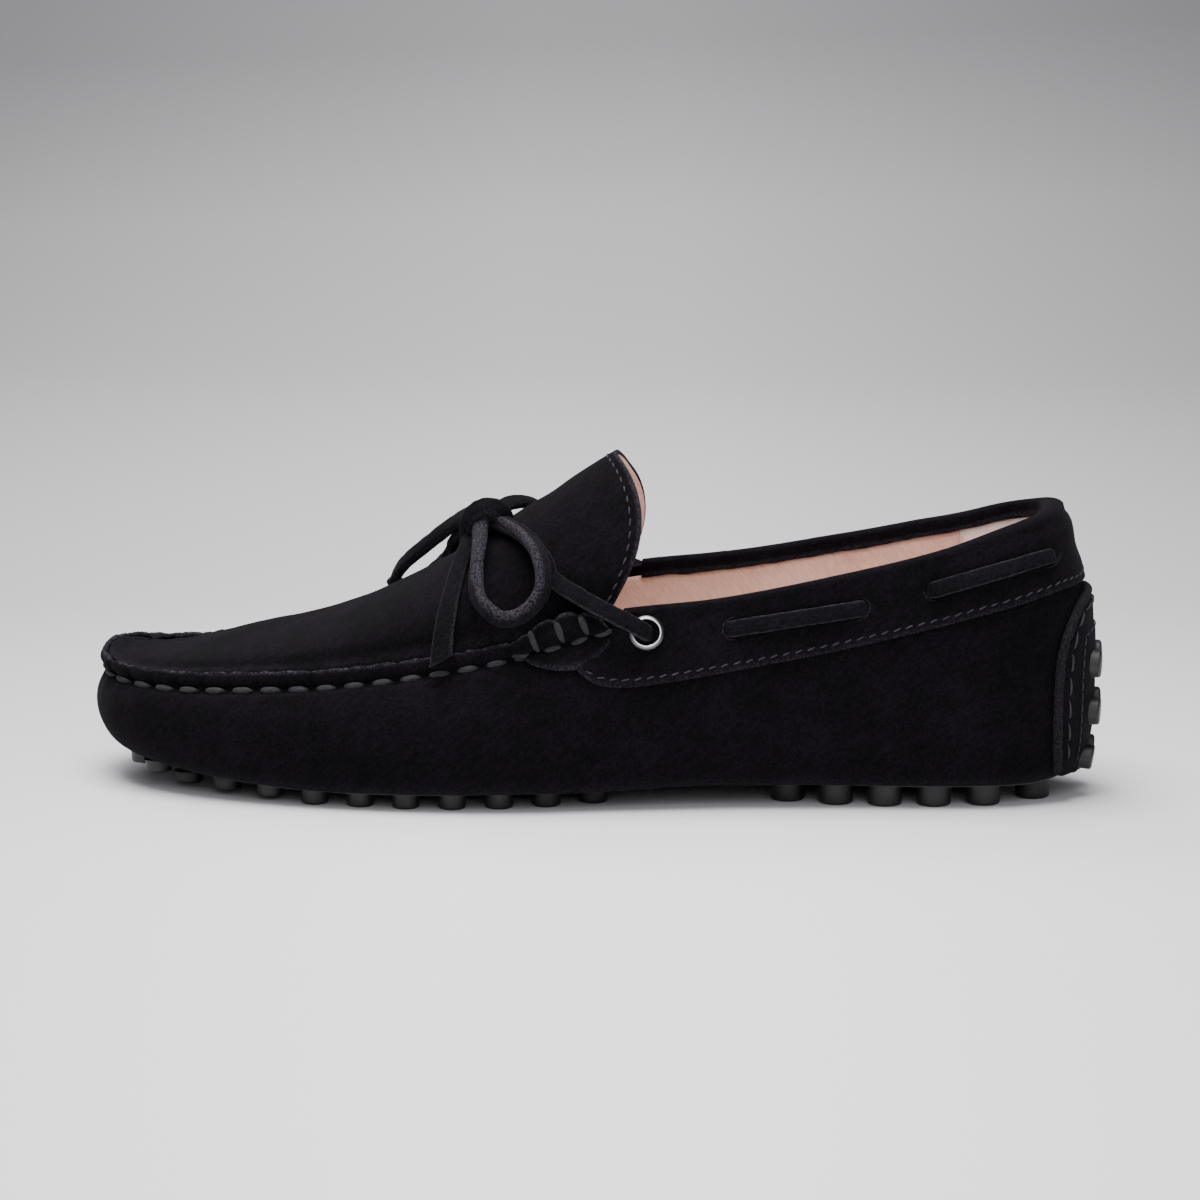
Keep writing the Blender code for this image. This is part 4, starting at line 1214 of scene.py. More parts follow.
def inner_wall(stations, lift, top_of, rows):
    """Grid on the inside of the wall, from the insole up to a height for each station."""
    grid = []
    for station in stations:
        foot = underside(sole_edge(station).x) + SUEDE_WALL
        top = top_of(station)
        levels = [foot + (top - foot) * k / rows for k in range(rows + 1)]
        grid.append([tuple(over_wall(station, level, lift)) for level in levels])
    return np.array(grid)


def make_lining():
    stations = np.arange(-HEEL_STATION + 0.1, HEEL_STATION + 0.01, 0.1)
    stations = [round(float(s), 4) for s in stations]

    def top_of(station):
        return edge_point(station).z - (3.0 * MM if abs(station) > 7.4 else 5.5 * MM)

    grid = inner_wall(stations, -(SUEDE_WALL + LINING_GAP), top_of, 26)
    normal = normals_of(grid, loop_u=True)
    grid = grid - normal * (0.5 + 0.5 * ripple(grid, 14 * MM))[..., None] * 0.25 * MM
    count, levels = grid.shape[:2]
    faces = quads(count, levels, loop_u=True)
    lining = piece("quarter_lining", grid.reshape(-1, 3), faces, LINING, smooth=None)
    thicken(lining, LINING_WALL)
    wear(lining, "lining_leather")

    stations = [round(float(s), 4) for s in np.arange(11.20, 16.8001, 0.08)]
    lift = -(SUEDE_WALL + LINING_GAP + LINING_WALL + GRIP_GAP)
    grid = inner_wall(stations, lift, top_of, 22)
    grid = grid - normals_of(grid) * (0.5 + 0.5 * ripple(grid, 9 * MM))[..., None] * 0.15 * MM
    count, levels = grid.shape[:2]
    grip = piece("heel_grip", grid.reshape(-1, 3), quads(count, levels), HEEL_LINING, smooth=None)
    thicken(grip, GRIP_WALL)
    wear(grip, "lining_leather")


def make_insole():
    """Leather sock: flat under the foot and turned up a little at its edge."""
    rows = []
    across = 28
    count = 90
    for k in range(count + 1):
        station = 0.75 + (HEEL_STATION - 1.15) * k / count
        share = 0.955 * math.sin(math.pi / 2 * min(1.0, 0.2 + k / 9, 0.2 + (count - k) / 9))
        row = []
        for j in range(across + 1):
            turn = share * (2 * j / across - 1)
            point = floor_point(station, turn)
            cup = max(0.0, abs(turn) - 0.7) ** 2 * 18 * MM
            point.z += WALL + SEAT_GAP + 2.5 * MM + cup
            row.append(tuple(point))
        rows.append(row)
    grid = np.array(rows)
    grid[..., 2] += ripple(grid, 20 * MM) * 0.3 * MM
    faces = quads(count + 1, across + 1, flip=True)
    insole = piece("leather_sock", grid.reshape(-1, 3), faces, HEEL_LINING, smooth=None)
    if sum(face.normal.z for face in insole.data.polygons) < 0:
        insole.data.flip_normals()
    thicken(insole, 2.0 * MM)
    wear(insole, "lining_leather", "insole")


# Soft dents of the apron: x and y in millimetres, run in degrees, half length, half width
# and depth in millimetres
APRON_FOLDS = (
    (-78, -12, 64, 20, 4.0, 0.30),
    (-66, 10, 96, 22, 4.5, 0.28),
    (-40, -20, 60, 16, 4.0, 0.35),
    (-34, 16, 120, 16, 4.0, 0.30),
    (-14, 2, 88, 24, 5.0, 0.35),
)


def nearest_seam(grid):
    """Distance of each point from the seam, and the seam's length at the nearest place."""
    flat = grid.reshape(-1, 3)
    near = np.empty(len(flat))
    where = np.empty(len(flat), int)
    for start in range(0, len(flat), 4000):
        part = flat[start : start + 4000]
        away = np.linalg.norm(part[:, None, :] - SEAM_POINTS[None], axis=2)
        where[start : start + 4000] = away.argmin(1)
        near[start : start + 4000] = away.min(1)
    return near.reshape(grid.shape[:2]), SEAM_LENGTHS[where].reshape(grid.shape[:2])


def make_apron():
    stations = np.concatenate([np.arange(0.06, 1.0, 0.06), np.arange(1.0, 7.5, 0.05)])
    stations = np.concatenate([stations, np.linspace(7.5, THROAT_STATION, 12)])
    across = 110
    turns = np.linspace(-1, 1, across + 1)
    grid = np.array([[tuple(apron_point(float(s), float(t))) for t in turns] for s in stations])
    crown = np.interp(
        grid[..., 0] / MM, (-120, -90, -50, -30, -12, 0, 14), (0, -0.1, 0.9, 0.8, 0.6, 1.2, 1.6)
    )
    grid[..., 2] += crown * MM * np.cos(turns * math.pi / 2)[None, :]
    normal = -normals_of(grid)
    near, length = nearest_seam(grid)
    wave = np.cos(2 * math.pi * (length / SEAM_PITCH - SEAM_PHASE))
    seam = smooth_step(7.5, 6.6, stations)[:, None]
    edge = np.exp(-((near / (1.9 * MM)) ** 2)) * 0.35
    dip = -np.exp(-(((near - 4.6 * MM) / (2.2 * MM)) ** 2)) * 0.85
    gather = np.exp(-near / (3.5 * MM)) * smooth_step(1.0 * MM, 2.6 * MM, near) * 0.20 * wave
    tip = smooth_step(2.2, 0.8, stations)[:, None]
    push = seam * (edge + dip * (1 - 0.8 * tip) + gather)
    push = push + 1.1 * tip * np.exp(-((near / (3.4 * MM)) ** 2))
    for x, y, run, half_long, half_wide, deep in APRON_FOLDS:
        c, s = math.cos(math.radians(run)), math.sin(math.radians(run))
        dx, dy = grid[..., 0] / MM - x, grid[..., 1] / MM - y
        lengthways, sideways = dx * c + dy * s, dy * c - dx * s
        push = push - deep * np.exp(-((lengthways / half_long) ** 2) - (sideways / half_wide) ** 2)
    soft = ripple(grid, 24 * MM) * 0.45 + ripple(grid + 5, 8 * MM) * 0.10
    push = (push + soft * smooth_step(0, 9 * MM, near)) * MM
    free = smooth_step(7.62, THROAT_STATION, stations)[:, None]
    grid = grid + normal * (push * (1 - 0.6 * free))[..., None]
    patchy = np.clip(0.7 + 0.9 * ripple(grid, 3.2 * MM), 0.15, 1)
    worn = seam * np.exp(-((near / (2.4 * MM)) ** 2)) * 0.6 * patchy
    rim = (stations > THROAT_STATION - 0.02)[:, None] * np.ones((1, across + 1)) * 0.8
    worn = np.maximum(worn, rim)
    points = [*grid.reshape(-1, 3), np.array(apron_point(0.0, 0))]
    tip = len(points) - 1
    faces = quads(len(stations), across + 1, flip=True)
    faces += [(tip, j, j + 1) for j in range(across)]
    marks = [*worn.ravel(), 0.5]
    apron = piece("apron_suede", points, faces, SUEDE, {"worn": marks}, smooth=None)
    turn_out(apron)
    if sum(face.normal.z * face.area for face in apron.data.polygons) < 0:
        apron.data.flip_normals()
    thicken(apron, 1.35 * MM, RAW_EDGE)
    wear(apron, "suede", "apron")
    first = int(np.argmin(np.abs(stations - 4.0)))
    back = grid[first:, 3:-3] - normal[first:, 3:-3] * 1.45 * MM
    back[-1] -= (grid[-1, 3:-3] - grid[-2, 3:-3]) * 0.2
    count, levels = back.shape[:2]
    faces = quads(count, levels, flip=True)
    sheet = piece("tongue_lining", back.reshape(-1, 3), faces, LINING, smooth=None)
    if sum(face.normal.z * face.area for face in sheet.data.polygons) < 0:
        sheet.data.flip_normals()
    thicken(sheet, 0.5 * MM)
    wear(sheet, "lining_leather")
    return stations, turns, grid, normal


def band_loop(station, foot, top, hem):
    """Closed section of the collar band, with a rolled top edge."""
    steps = 12
    levels = [foot + (top - foot) * k / steps for k in range(steps + 1)]
    face = [over_wall(station, level, FIT + BAND_WALL) for level in levels]
    back = [over_wall(station, level, FIT) for level in reversed(levels)]
    edge = edge_point(station)
    out = -inward(station, edge_point)
    up = Vector((0, 0, 1))
    cover = FIT + BAND_WALL
    inside = WALL + FIT + BAND_WALL
    fold = []
    if hem:
        middle = edge - out * (inside - cover) / 2
        half = (inside + cover) / 2
        for k in range(1, 10):
            angle = math.pi * k / 10
            fold.append(middle + out * half * math.cos(angle) + up * cover * math.sin(angle))
        inner = edge - out * inside
        for k in range(5):
            fold.append(inner - up * HEM_SHOWN * k / 4)
        fold.append(edge - out * (inside - BAND_WALL) - up * HEM_SHOWN)
        fold.append(edge - out * (inside - BAND_WALL) + up * FIT)
        fold.append(edge + out * FIT + up * FIT)
    else:
        fold = [face[-1]] * 9 + [face[-1].lerp(back[0], 0.5)] * 5 + [back[0]] * 3
    return face + fold + back


def make_band():
    front = [round(float(s), 4) for s in np.linspace(BAND_START, BAND_HEM_START - 0.01, 14)]
    rear = [round(float(s), 4) for s in np.arange(BAND_HEM_START, HEEL_STATION, 0.045)]
    half = front + rear
    turns = [-s for s in half] + [-float(HEEL_STATION)] + half[::-1]
    loops = []
    for station in turns:
        hem = abs(station) >= BAND_HEM_START
        share = (girth_point(station).x - FRONT_X) / UPPER_LENGTH
        foot = read_rows(BAND_FOOT_ROWS, share) * COLLAR_HEIGHT
        if hem:
            top = edge_point(station).z - BAND_WALL / 2
        else:
            top = max(foot + 0.3 * MM, read_rows(BAND_FRONT_ROWS, share) * COLLAR_HEIGHT)
        loops.append(arr(band_loop(station, foot, top, hem)))
    grid = np.array(loops)
    count, size = grid.shape[:2]
    height = grid[:, :13, 2] - grid[:, :1, 2]
    groove = -np.exp(-(((height - 2.1 * MM) / (0.55 * MM)) ** 2)) * 0.22
    plump = np.exp(-(((height - 5.0 * MM) / (2.6 * MM)) ** 2)) * 0.16
    soft = ripple(grid[:, :13], 15 * MM) * 0.30
    push = (groove + plump + soft * smooth_step(0, 4 * MM, height)) * MM
    from_top = grid[:, 12:13, 2] - grid[:, :13, 2]
    fill = np.exp(-(((from_top - 3.6 * MM) / (4.8 * MM)) ** 2))
    at_heel = smooth_step(9.5, 12.5, np.abs(np.array(turns)))[:, None]
    push = push + fill * (0.12 + 0.88 * at_heel) * 1.8 * MM
    face_out = np.array(
        [[tuple(outward(s, float(z))) for z in grid[k, :13, 2]] for k, s in enumerate(turns)]
    )
    grid[:, :13] += face_out * push[..., None]
    for k in range(13, 22):
        grid[:, k] += face_out[:, 12] * push[:, 12:13] * (22 - k) / 10
    grid[:, 26:28, 2] += ripple(grid[:, 26:27], 5 * MM) * 0.35 * MM
    worn = np.zeros((count, size))
    worn[:, :13] = np.exp(-((height / (1.3 * MM)) ** 2)) * 0.34
    worn[:, -13:] = 0.3
    worn[:, 25:29] = 0.4
    points = grid.reshape(-1, 3)
    faces = quads(count, size, loop_v=True)
    faces += [tuple(range(size)), tuple((count - 1) * size + j for j in range(size))]
    band = piece("collar_band_suede", points, faces, SUEDE, {"worn": worn.ravel()}, smooth=None)
    work = bmesh.new()
    work.from_mesh(band.data)
    bmesh.ops.remove_doubles(work, verts=work.verts, dist=1e-6)
    bmesh.ops.recalc_face_normals(work, faces=work.faces)
    work.to_mesh(band.data)
    work.free()
    wear(band, "suede", "collar_band")
    return turns, grid, face_out


make_upper()
make_lining()
make_insole()
apron_stations, apron_turns, apron_grid, apron_normal = make_apron()
band_turns, band_grid, band_out = make_band()


# Rubber
def unit_rows(unit, count, across):
    first, last = unit["stations"]
    middle = (first + last) / 2
    half = (last - first) / 2
    rows = []
    for k in range(count + 1):
        angle = math.radians(14 + (180 - 28) * k / count)
        station = middle - half * math.copysign(abs(math.cos(angle)) ** 0.6, math.cos(angle))
        share = unit["share"] * math.sin(angle) ** 0.45
        rows.append(
            [floor_point(station, share * (2 * j / across - 1)) for j in range(across + 1)]
        )
    return rows


def stud_places(unit, pitch):
    """Centres of the lower faces of the studs, as in the part's source."""
    rows = unit_rows(unit, 12, 6)
    loop = [row[0] for row in rows] + rows[-1][1:-1]
    loop += [row[-1] for row in reversed(rows)] + rows[0][-2:0:-1]
    margin = STUD_RADIUS + STUD_EDGE

    def span_at(x):
        hits = []
        for a, b in zip(loop, loop[1:] + loop[:1]):
            if (a.x - x) * (b.x - x) < 0:
                hits.append(a.y + (b.y - a.y) * (x - a.x) / (b.x - a.x))
        return (min(hits), max(hits)) if hits else None

    places = []
    for k in range(unit["rows"]):
        x = along(unit["first"]) + k * pitch
        spans = [span_at(x + reach) for reach in (-margin, 0, margin)]
        if None in spans:
            continue
        low = max(s[0] for s in spans) + margin
        high = min(s[1] for s in spans) - margin
        number = int((high - low) / STUD_PITCH) + 1
        top = underside(x)
        foot = 0.0 if unit is HEEL_UNIT else max(0.0, top - FORE_STUD_DROP)
        for j in range(number):
            places.append(Vector((x, low + (high - low) * j / max(1, number - 1), foot)))
    return places


def turned(name, profile, steps, material, loop_v=False, marks=None):
    """Round piece about the z axis from a profile of radius and height."""
    grid = []
    for k in range(steps):
        angle = 2 * math.pi * k / steps
        grid.append([(r * math.cos(angle), r * math.sin(angle), z) for r, z in profile])
    grid = np.array(grid)
    points = [*grid.reshape(-1, 3)]
    size = len(profile)
    faces = quads(steps, size, loop_u=True, loop_v=loop_v)
    if not loop_v:
        for j in (0, size - 1):
            faces.append(tuple(k * size + j for k in range(steps)))
    marks = {key: list(values) * steps for key, values in (marks or {}).items()}
    thing = piece(name, points, faces, material, marks, smooth=35)
    turn_out(thing)
    return thing


def socket_of(tree, name):
    return next(s.identifier for s in tree.interface.items_tree if s.name == name)


def repeat_tree():
    """Sets one small piece at each marked point, turned by the point's own angles."""
    tree = bpy.data.node_groups.new("pieces_on_marks", "GeometryNodeTree")
    for name, kind, way in (
        ("Marks", "NodeSocketGeometry", "INPUT"),
        ("Piece", "NodeSocketObject", "INPUT"),
        ("Finish", "NodeSocketMaterial", "INPUT"),
        ("Result", "NodeSocketGeometry", "OUTPUT"),
    ):
        tree.interface.new_socket(name, in_out=way, socket_type=kind)
    inlet = put(tree, "NodeGroupInput")
    shape = put(tree, "GeometryNodeObjectInfo", {"Object": inlet.outputs["Piece"]})
    angles, sizes = (
        put(tree, "GeometryNodeInputNamedAttribute", {"Name": name}, data_type=kind)
        for name, kind in (("angles", "FLOAT_VECTOR"), ("size", "FLOAT"))
    )
    turn = put(tree, "FunctionNodeEulerToRotation", {"Euler": angles.outputs["Attribute"]})
    placed = put(
        tree,
        "GeometryNodeInstanceOnPoints",
        {
            "Points": inlet.outputs["Marks"],
            "Instance": shape.outputs["Geometry"],
            "Rotation": turn.outputs[0],
            "Scale": sizes.outputs["Attribute"],
        },
    )
    real = put(tree, "GeometryNodeRealizeInstances", {"Geometry": placed.outputs[0]})
    done = put(
        tree,
        "GeometryNodeSetMaterial",
        {"Geometry": real.outputs[0], "Material": inlet.outputs["Finish"]},
    )
    put(tree, "NodeGroupOutput", {"Result": done.outputs[0]})
    return tree


REPEAT = repeat_tree()


def repeated(name, template, places, material, sizes=None):
    """One mesh of a template at many places; each place is a point and its turn."""
    mesh = bpy.data.meshes.new(name + "_marks")
    mesh.from_pydata([tuple(p) for p, _ in places], [], [])
    angles = mesh.attributes.new("angles", "FLOAT_VECTOR", "POINT")
    angles.data.foreach_set(
        "vector", np.array([tuple(turn.to_euler()) for _, turn in places], np.float32).ravel()
    )
    size = mesh.attributes.new("size", "FLOAT", "POINT")
    size.data.foreach_set("value", np.array(sizes or [1.0] * len(places), np.float32))
    marks = bpy.data.objects.new(name + "_marks", mesh)
    bpy.context.scene.collection.objects.link(marks)
    nodes = marks.modifiers.new("Repeat", "NODES")
    nodes.node_group = REPEAT
    nodes[socket_of(REPEAT, "Piece")] = template
    nodes[socket_of(REPEAT, "Finish")] = material
    bpy.context.view_layer.update()
    ready = marks.evaluated_get(bpy.context.evaluated_depsgraph_get())
    result = bpy.data.meshes.new_from_object(ready)
    result.name = name
    bpy.data.objects.remove(marks)
    thing = bpy.data.objects.new(name, result)
    bpy.context.scene.collection.objects.link(thing)
    return thing


def frame_turn(z_way, x_way=None):
    """Rotation whose z axis looks one way and whose x axis runs near another."""
    z = Vector(z_way).normalized()
    if x_way is None:
        x_way = (1, 0, 0) if abs(z.x) < 0.9 else (0, 1, 0)
    x = Vector(x_way)
    x = (x - z * x.dot(z)).normalized()
    y = z.cross(x)
    return Matrix((x, y, z)).transposed()


def stud_profile(radius, reach, belt):
    """Radius and height of a stud: foot flange, straight side, rounded end at height 0."""
    profile = [(radius + 0.5 * MM, -reach), (radius + 0.12 * MM, -reach + belt)]
    profile.append((radius, -reach + belt + 0.5 * MM))
    bend = 0.85 * MM
    for k in range(7):
        angle = math.pi / 2 * k / 6
        profile.append(
            (radius - 0.1 * MM - bend * (1 - math.cos(angle)), -bend * (1 - math.sin(angle)))
        )
    profile.append((0.45 * radius, 0.0))
    return profile


def make_rubber():
    down = frame_turn((0, 0, -1))
    for name, unit, pitch, wide in (
        ("sole_forefoot", FORE_UNIT, STUD_PITCH, 3.95 * MM),
        ("sole_heel", HEEL_UNIT, HEEL_STUD_PITCH, 4.95 * MM),
    ):
        rows = np.array([[tuple(p) for p in row] for row in unit_rows(unit, 44, 16)])
        low, high = rows.copy(), rows.copy()
        low[..., 2] -= 0.3 * MM
        high[..., 2] += 0.5 * MM
        count, size = rows.shape[:2]
        faces = quads(count, size) + quads(count, size, flip=True, start=count * size)
        rim = [u * size for u in range(count)] + [(count - 1) * size + v for v in range(1, size)]
        rim += [u * size + size - 1 for u in reversed(range(count - 1))]
        rim += [v for v in reversed(range(1, size - 1))]
        shift = count * size
        for a, b in zip(rim, rim[1:] + rim[:1]):
            faces.append((a, b, b + shift, a + shift))
        points = [*low.reshape(-1, 3), *high.reshape(-1, 3)]
        plate = piece(name + "_plate", points, faces, RUBBER, smooth=40)
        turn_out(plate)
        wear(plate, "rubber", name)
        drop = FORE_STUD_DROP if unit is FORE_UNIT else HEEL_STUD_DROP
        template = turned(
            "stud_template", stud_profile(wide, drop + 0.3 * MM, 0.4 * MM), 28, RUBBER
        )
        spots = stud_places(unit, pitch)
        if unit is FORE_UNIT:
            for spot in spots:
                spot.x -= 2.8 * MM * float(smooth_step(0, -125 * MM, spot.x))
                spot.x += 2.2 * MM * math.exp(-(((spot.x / MM + 113) / 7) ** 2))
                spot.z = max(0.0, underside(spot.x) - FORE_STUD_DROP)
                spot.z -= 1.8 * MM * float(smooth_step(-90 * MM, -118 * MM, spot.x))
            spots = [spot for spot in spots if spot.x > -121 * MM or abs(spot.y) < 6 * MM]
            for side in (-1, 1):
                spots.append(Vector((-128.0, side * 12.0, 6.0)) * MM)
                spots.append(Vector((-122.9, side * 19.0, 4.7)) * MM)
        places, sizes = [], []
        for spot in spots:
            places.append((spot, down))
            sizes.append(np.interp(spot.x / MM, (-128, -100, -40, 0, 40), (0.92, 0.97, 1, 1.1, 1)))
        studs = repeated(name + "_studs", template, places, RUBBER, sizes)
        bpy.data.objects.remove(template)
        wear(studs, "rubber")
    reach = 4.6 * MM
    template = turned("back_stud_template", stud_profile(4.5 * MM, reach, 0.6 * MM), 28, RUBBER)
    places = []
    for row in range(3):
        for column in range(2):
            station = -HEEL_STATION + BACK_STUD_STEP * (column - 0.5)
            height = BACK_STUD_LOW + row * BACK_STUD_PITCH
            normal = outward(station, height)
            top = over_wall(station, height, 2 * FIT + PLATE_WALL + PATCH_WALL + BACK_STUD_REACH)
            axis = (normal + Vector((1.1, 0, -0.05))).normalized()
            places.append((top + axis * 0.4 * MM - Vector((0, 0, 0.9 * MM)), frame_turn(axis)))
    studs = repeated("heel_back_studs", template, places, RUBBER, [0.9] * len(places))
    wear(studs, "rubber", "heel_studs")
    bpy.data.objects.remove(template)


def outline_tube(name, line, radius, material, worn, steps=12, out=None):
    """Round fuzzy cord-like edge along a line of points on the shoe."""
    count = len(line)
    rows = []
    for k, point in enumerate(line):
        tangent = (line[min(k + 1, count - 1)] - line[max(k - 1, 0)]).normalized()
        face = out[k]
        face = (face - tangent * face.dot(tangent)).normalized()
        across = tangent.cross(face)
        size = radius * min(1.0, 0.35 + k / 4, 0.35 + (count - 1 - k) / 4)
        rows.append(
            [
                tuple(point + (across * math.cos(a) + face * math.sin(a)) * size)
                for a in (2 * math.pi * j / steps for j in range(steps))
            ]
        )
    grid = np.array(rows)
    grid += (ripple(grid, 1.6 * MM) * 0.22 * radius)[..., None] * normals_of(grid, loop_v=True)
    faces = quads(count, steps, loop_v=True)
    faces += [tuple(range(steps)), tuple((count - 1) * steps + j for j in range(steps))]
    thing = piece(name, grid.reshape(-1, 3), faces, material, {"worn": [worn] * (count * steps)})
    turn_out(thing)
    return thing


def patch_half(height_share):
    """Half width of the heel patch in stations, narrower than the plain solid's."""
    return 0.80 * read_rows(PATCH_ROWS, height_share)


def patch_line(share, low, high, lift, count=90):
    """Points and outward ways along the patch's outline, drawn in by a share."""
    heights = [low + (high - low) * k / count for k in range(count + 1)]
    marks = [(-1, h) for h in heights] + [(1, h) for h in reversed(heights[:-1])]
    line, ways = [], []
    top_half = patch_half(high) * share
    for side, h in marks:
        half = patch_half(h) * share
        station = -HEEL_STATION + side * half
        line.append(over_wall(station, h * COLLAR_HEIGHT, lift))
        ways.append(outward(station, h * COLLAR_HEIGHT))
    middle = len(heights) - 1
    top, top_ways = [], []
    for j in range(1, 8):
        station = -HEEL_STATION + top_half * (2 * j / 8 - 1)
        level = high * COLLAR_HEIGHT + 0.8 * MM * math.sin(math.pi * j / 8)
        top.append(over_wall(station, level, lift))
        top_ways.append(outward(station, level))
    line = line[: middle + 1] + top + line[middle + 1 :]
    ways = ways[: middle + 1] + top_ways + ways[middle + 1 :]
    return line, ways


def make_patch():
    rows, worn = [], []
    count, across = 64, 60
    for k in range(count + 1):
        share = 0.088 + (0.694 - 0.088) * k / count
        level = share * COLLAR_HEIGHT
        row, mark = [], []
        for j in range(across + 1):
            turn = 2 * j / across - 1
            station = turn * patch_half(share) - HEEL_STATION
            edge = min(1.0, (1 - abs(turn)) * patch_half(share) / 0.12, (0.700 - share) / 0.03)
            edge = max(0.0, edge)
            inner = smooth_step(0.62, 0.57, abs(turn))
            inner = inner * smooth_step(0.60, 0.565, share)
            lift = 2 * FIT + PLATE_WALL + PATCH_WALL * (0.35 + 0.65 * edge**0.5)
            lift += 0.45 * MM * float(inner) - 0.05 * MM
            row.append(tuple(over_wall(station, level, lift)))
            mark.append(0.05 + 0.35 * float(inner) * (1 - float(inner)) * 4)
        rows.append(row)
        worn.append(mark)
    grid = np.array(rows)
    grid = grid + (ripple(grid, 9 * MM) * 0.18 * MM)[..., None] * np.array([1.0, 0, 0])
    faces = quads(count + 1, across + 1)
    marks = {"worn": np.array(worn).ravel()}
    patch = piece("heel_patch_suede", grid.reshape(-1, 3), faces, SUEDE, marks, smooth=None)
    turn_out(patch)
    if sum(face.normal.x * face.area for face in patch.data.polygons) < 0:
        patch.data.flip_normals()
    thicken(patch, 0.9 * MM)
    wear(patch, "suede", "heel_patch")
    line, ways = patch_line(1.0, 0.088, 0.690, 1.5 * MM)
    piping = outline_tube("heel_patch_piping", line, 1.35 * MM, RAW_EDGE, 0.35, out=ways)
    wear(piping, "suede")


make_rubber()
make_patch()
for side_name, side in (("outer", -1), ("inner", 1)):
    for name, (first, last) in BAR_ENDS.items():
        make_bar(side_name, side, name, first, last)


# Seam tabs at the throat: x and z of the lower edge, the stitch line and the top edge,
# in millimetres, then both ends of each stitch over the roll and of each along the line
TAB_LOW = (
    (-19.5, 44.0), (-17.1, 42.6), (-13.6, 41.0), (-7.9, 40.2),
    (-2.2, 40.6), (3.0, 42.7), (6.4, 46.2), (7.6, 49.6),
)
TAB_LINE = (
    (-20.5, 45.4), (-17.7, 44.2), (-13.6, 44.6), (-9.1, 45.7),
    (-5.2, 46.8), (-1.6, 48.2), (1.8, 49.2), (7.4, 50.4),
)
TAB_TOP = (
    (-21.4, 46.8), (-17.2, 50.6), (-13.0, 53.6), (-8.4, 55.8),
    (-3.6, 57.0), (1.0, 56.6), (4.6, 54.2), (7.2, 51.4),
)
TAB_WHIPS = ((-15.6, 50.8, -13.0, 45.2), (-8.6, 54.2, -5.8, 47.4), (-1.8, 56.0, 1.0, 49.8))
TAB_RUNS = (
    (-20.4, 43.6, -15.0, 44.0),
    (-11.8, 44.8, -6.4, 46.2),
    (-4.2, 46.9, 1.0, 49.0),
    (2.6, 49.6, 7.2, 50.8),
)


def shoe_side(side, x, z):
    """Point and outward way of the shoe's side at any x and z near the throat."""
    low = min(z, 0.046)
    station = station_at(side, round(x, 5), round(low, 5))
    edge = edge_point(station)
    if z < edge.z:
        return wall_at(station, z), outward(station, z)
    way = -inward(station, edge_point)
    return edge + Vector((0, 0, z - edge.z)), way


def make_tab(side, side_name):
    tables = []
    steps = 44
    for rows in (TAB_LOW, TAB_LINE, TAB_TOP):
        line = arr(through([Vector((x, 0, z)) * MM for x, z in rows], 10))
        index = np.arange(len(line))
        at = np.linspace(0, len(line) - 1, steps + 1)
        tables.append(np.stack([np.interp(at, index, line[:, k]) for k in (0, 2)], axis=1))
    low, seam, top = tables
    grid, worn = [], []
    lower, upper = 8, 14
    for k in range(steps + 1):
        row, marks = [], []
        for j in range(lower + upper + 1):
            if j <= lower:
                f = j / lower
                x, z = low[k] + (seam[k] - low[k]) * f
                lift = 1.15 * MM * math.sin(math.pi / 2 * min(1, 0.25 + 2.2 * f))
                mark = 0.55 * max(0.0, 1 - 3.2 * f)
            else:
                f = (j - lower) / upper
                x, z = seam[k] + (top[k] - seam[k]) * f
                pinch = 0.0
                for x0, z0, x1, z1 in TAB_WHIPS:
                    run = (x1 - x0) / (z1 - z0)
                    off = x / MM - (x0 + run * (z / MM - z0))
                    pinch = max(pinch, math.exp(-((off / 1.15) ** 2)))
                lift = (1.2 + 1.5 * math.sin(math.pi * f**0.8) - 1.0 * pinch) * MM
                z -= 1.3 * MM * pinch * f
                mark = 0.8 * max(0.0, (f - 0.86) / 0.14)
            if j == lower:
                lift = 0.75 * MM
            ends = min(1.0, 0.15 + k / 5, 0.15 + (steps - k) / 5)
            point, way = shoe_side(side, x, z)
            row.append(tuple(point + way * (FIT + RIDGE_BULGE + lift * ends)))
            marks.append(mark)
        grid.append(row)
        worn.append(marks)
    grid = np.array(grid)
    tab = piece(
        "seam_tab_" + side_name + "_suede",
        grid.reshape(-1, 3),
        quads(steps + 1, lower + upper + 1),
        SUEDE,
        {"worn": np.array(worn).ravel()},
        smooth=None,
    )
    if sum(face.normal.y * side * face.area for face in tab.data.polygons) < 0:
        tab.data.flip_normals()
    thicken(tab, 1.5 * MM, RAW_EDGE)
    wear(tab, "suede", "seam_tab_" + side_name)


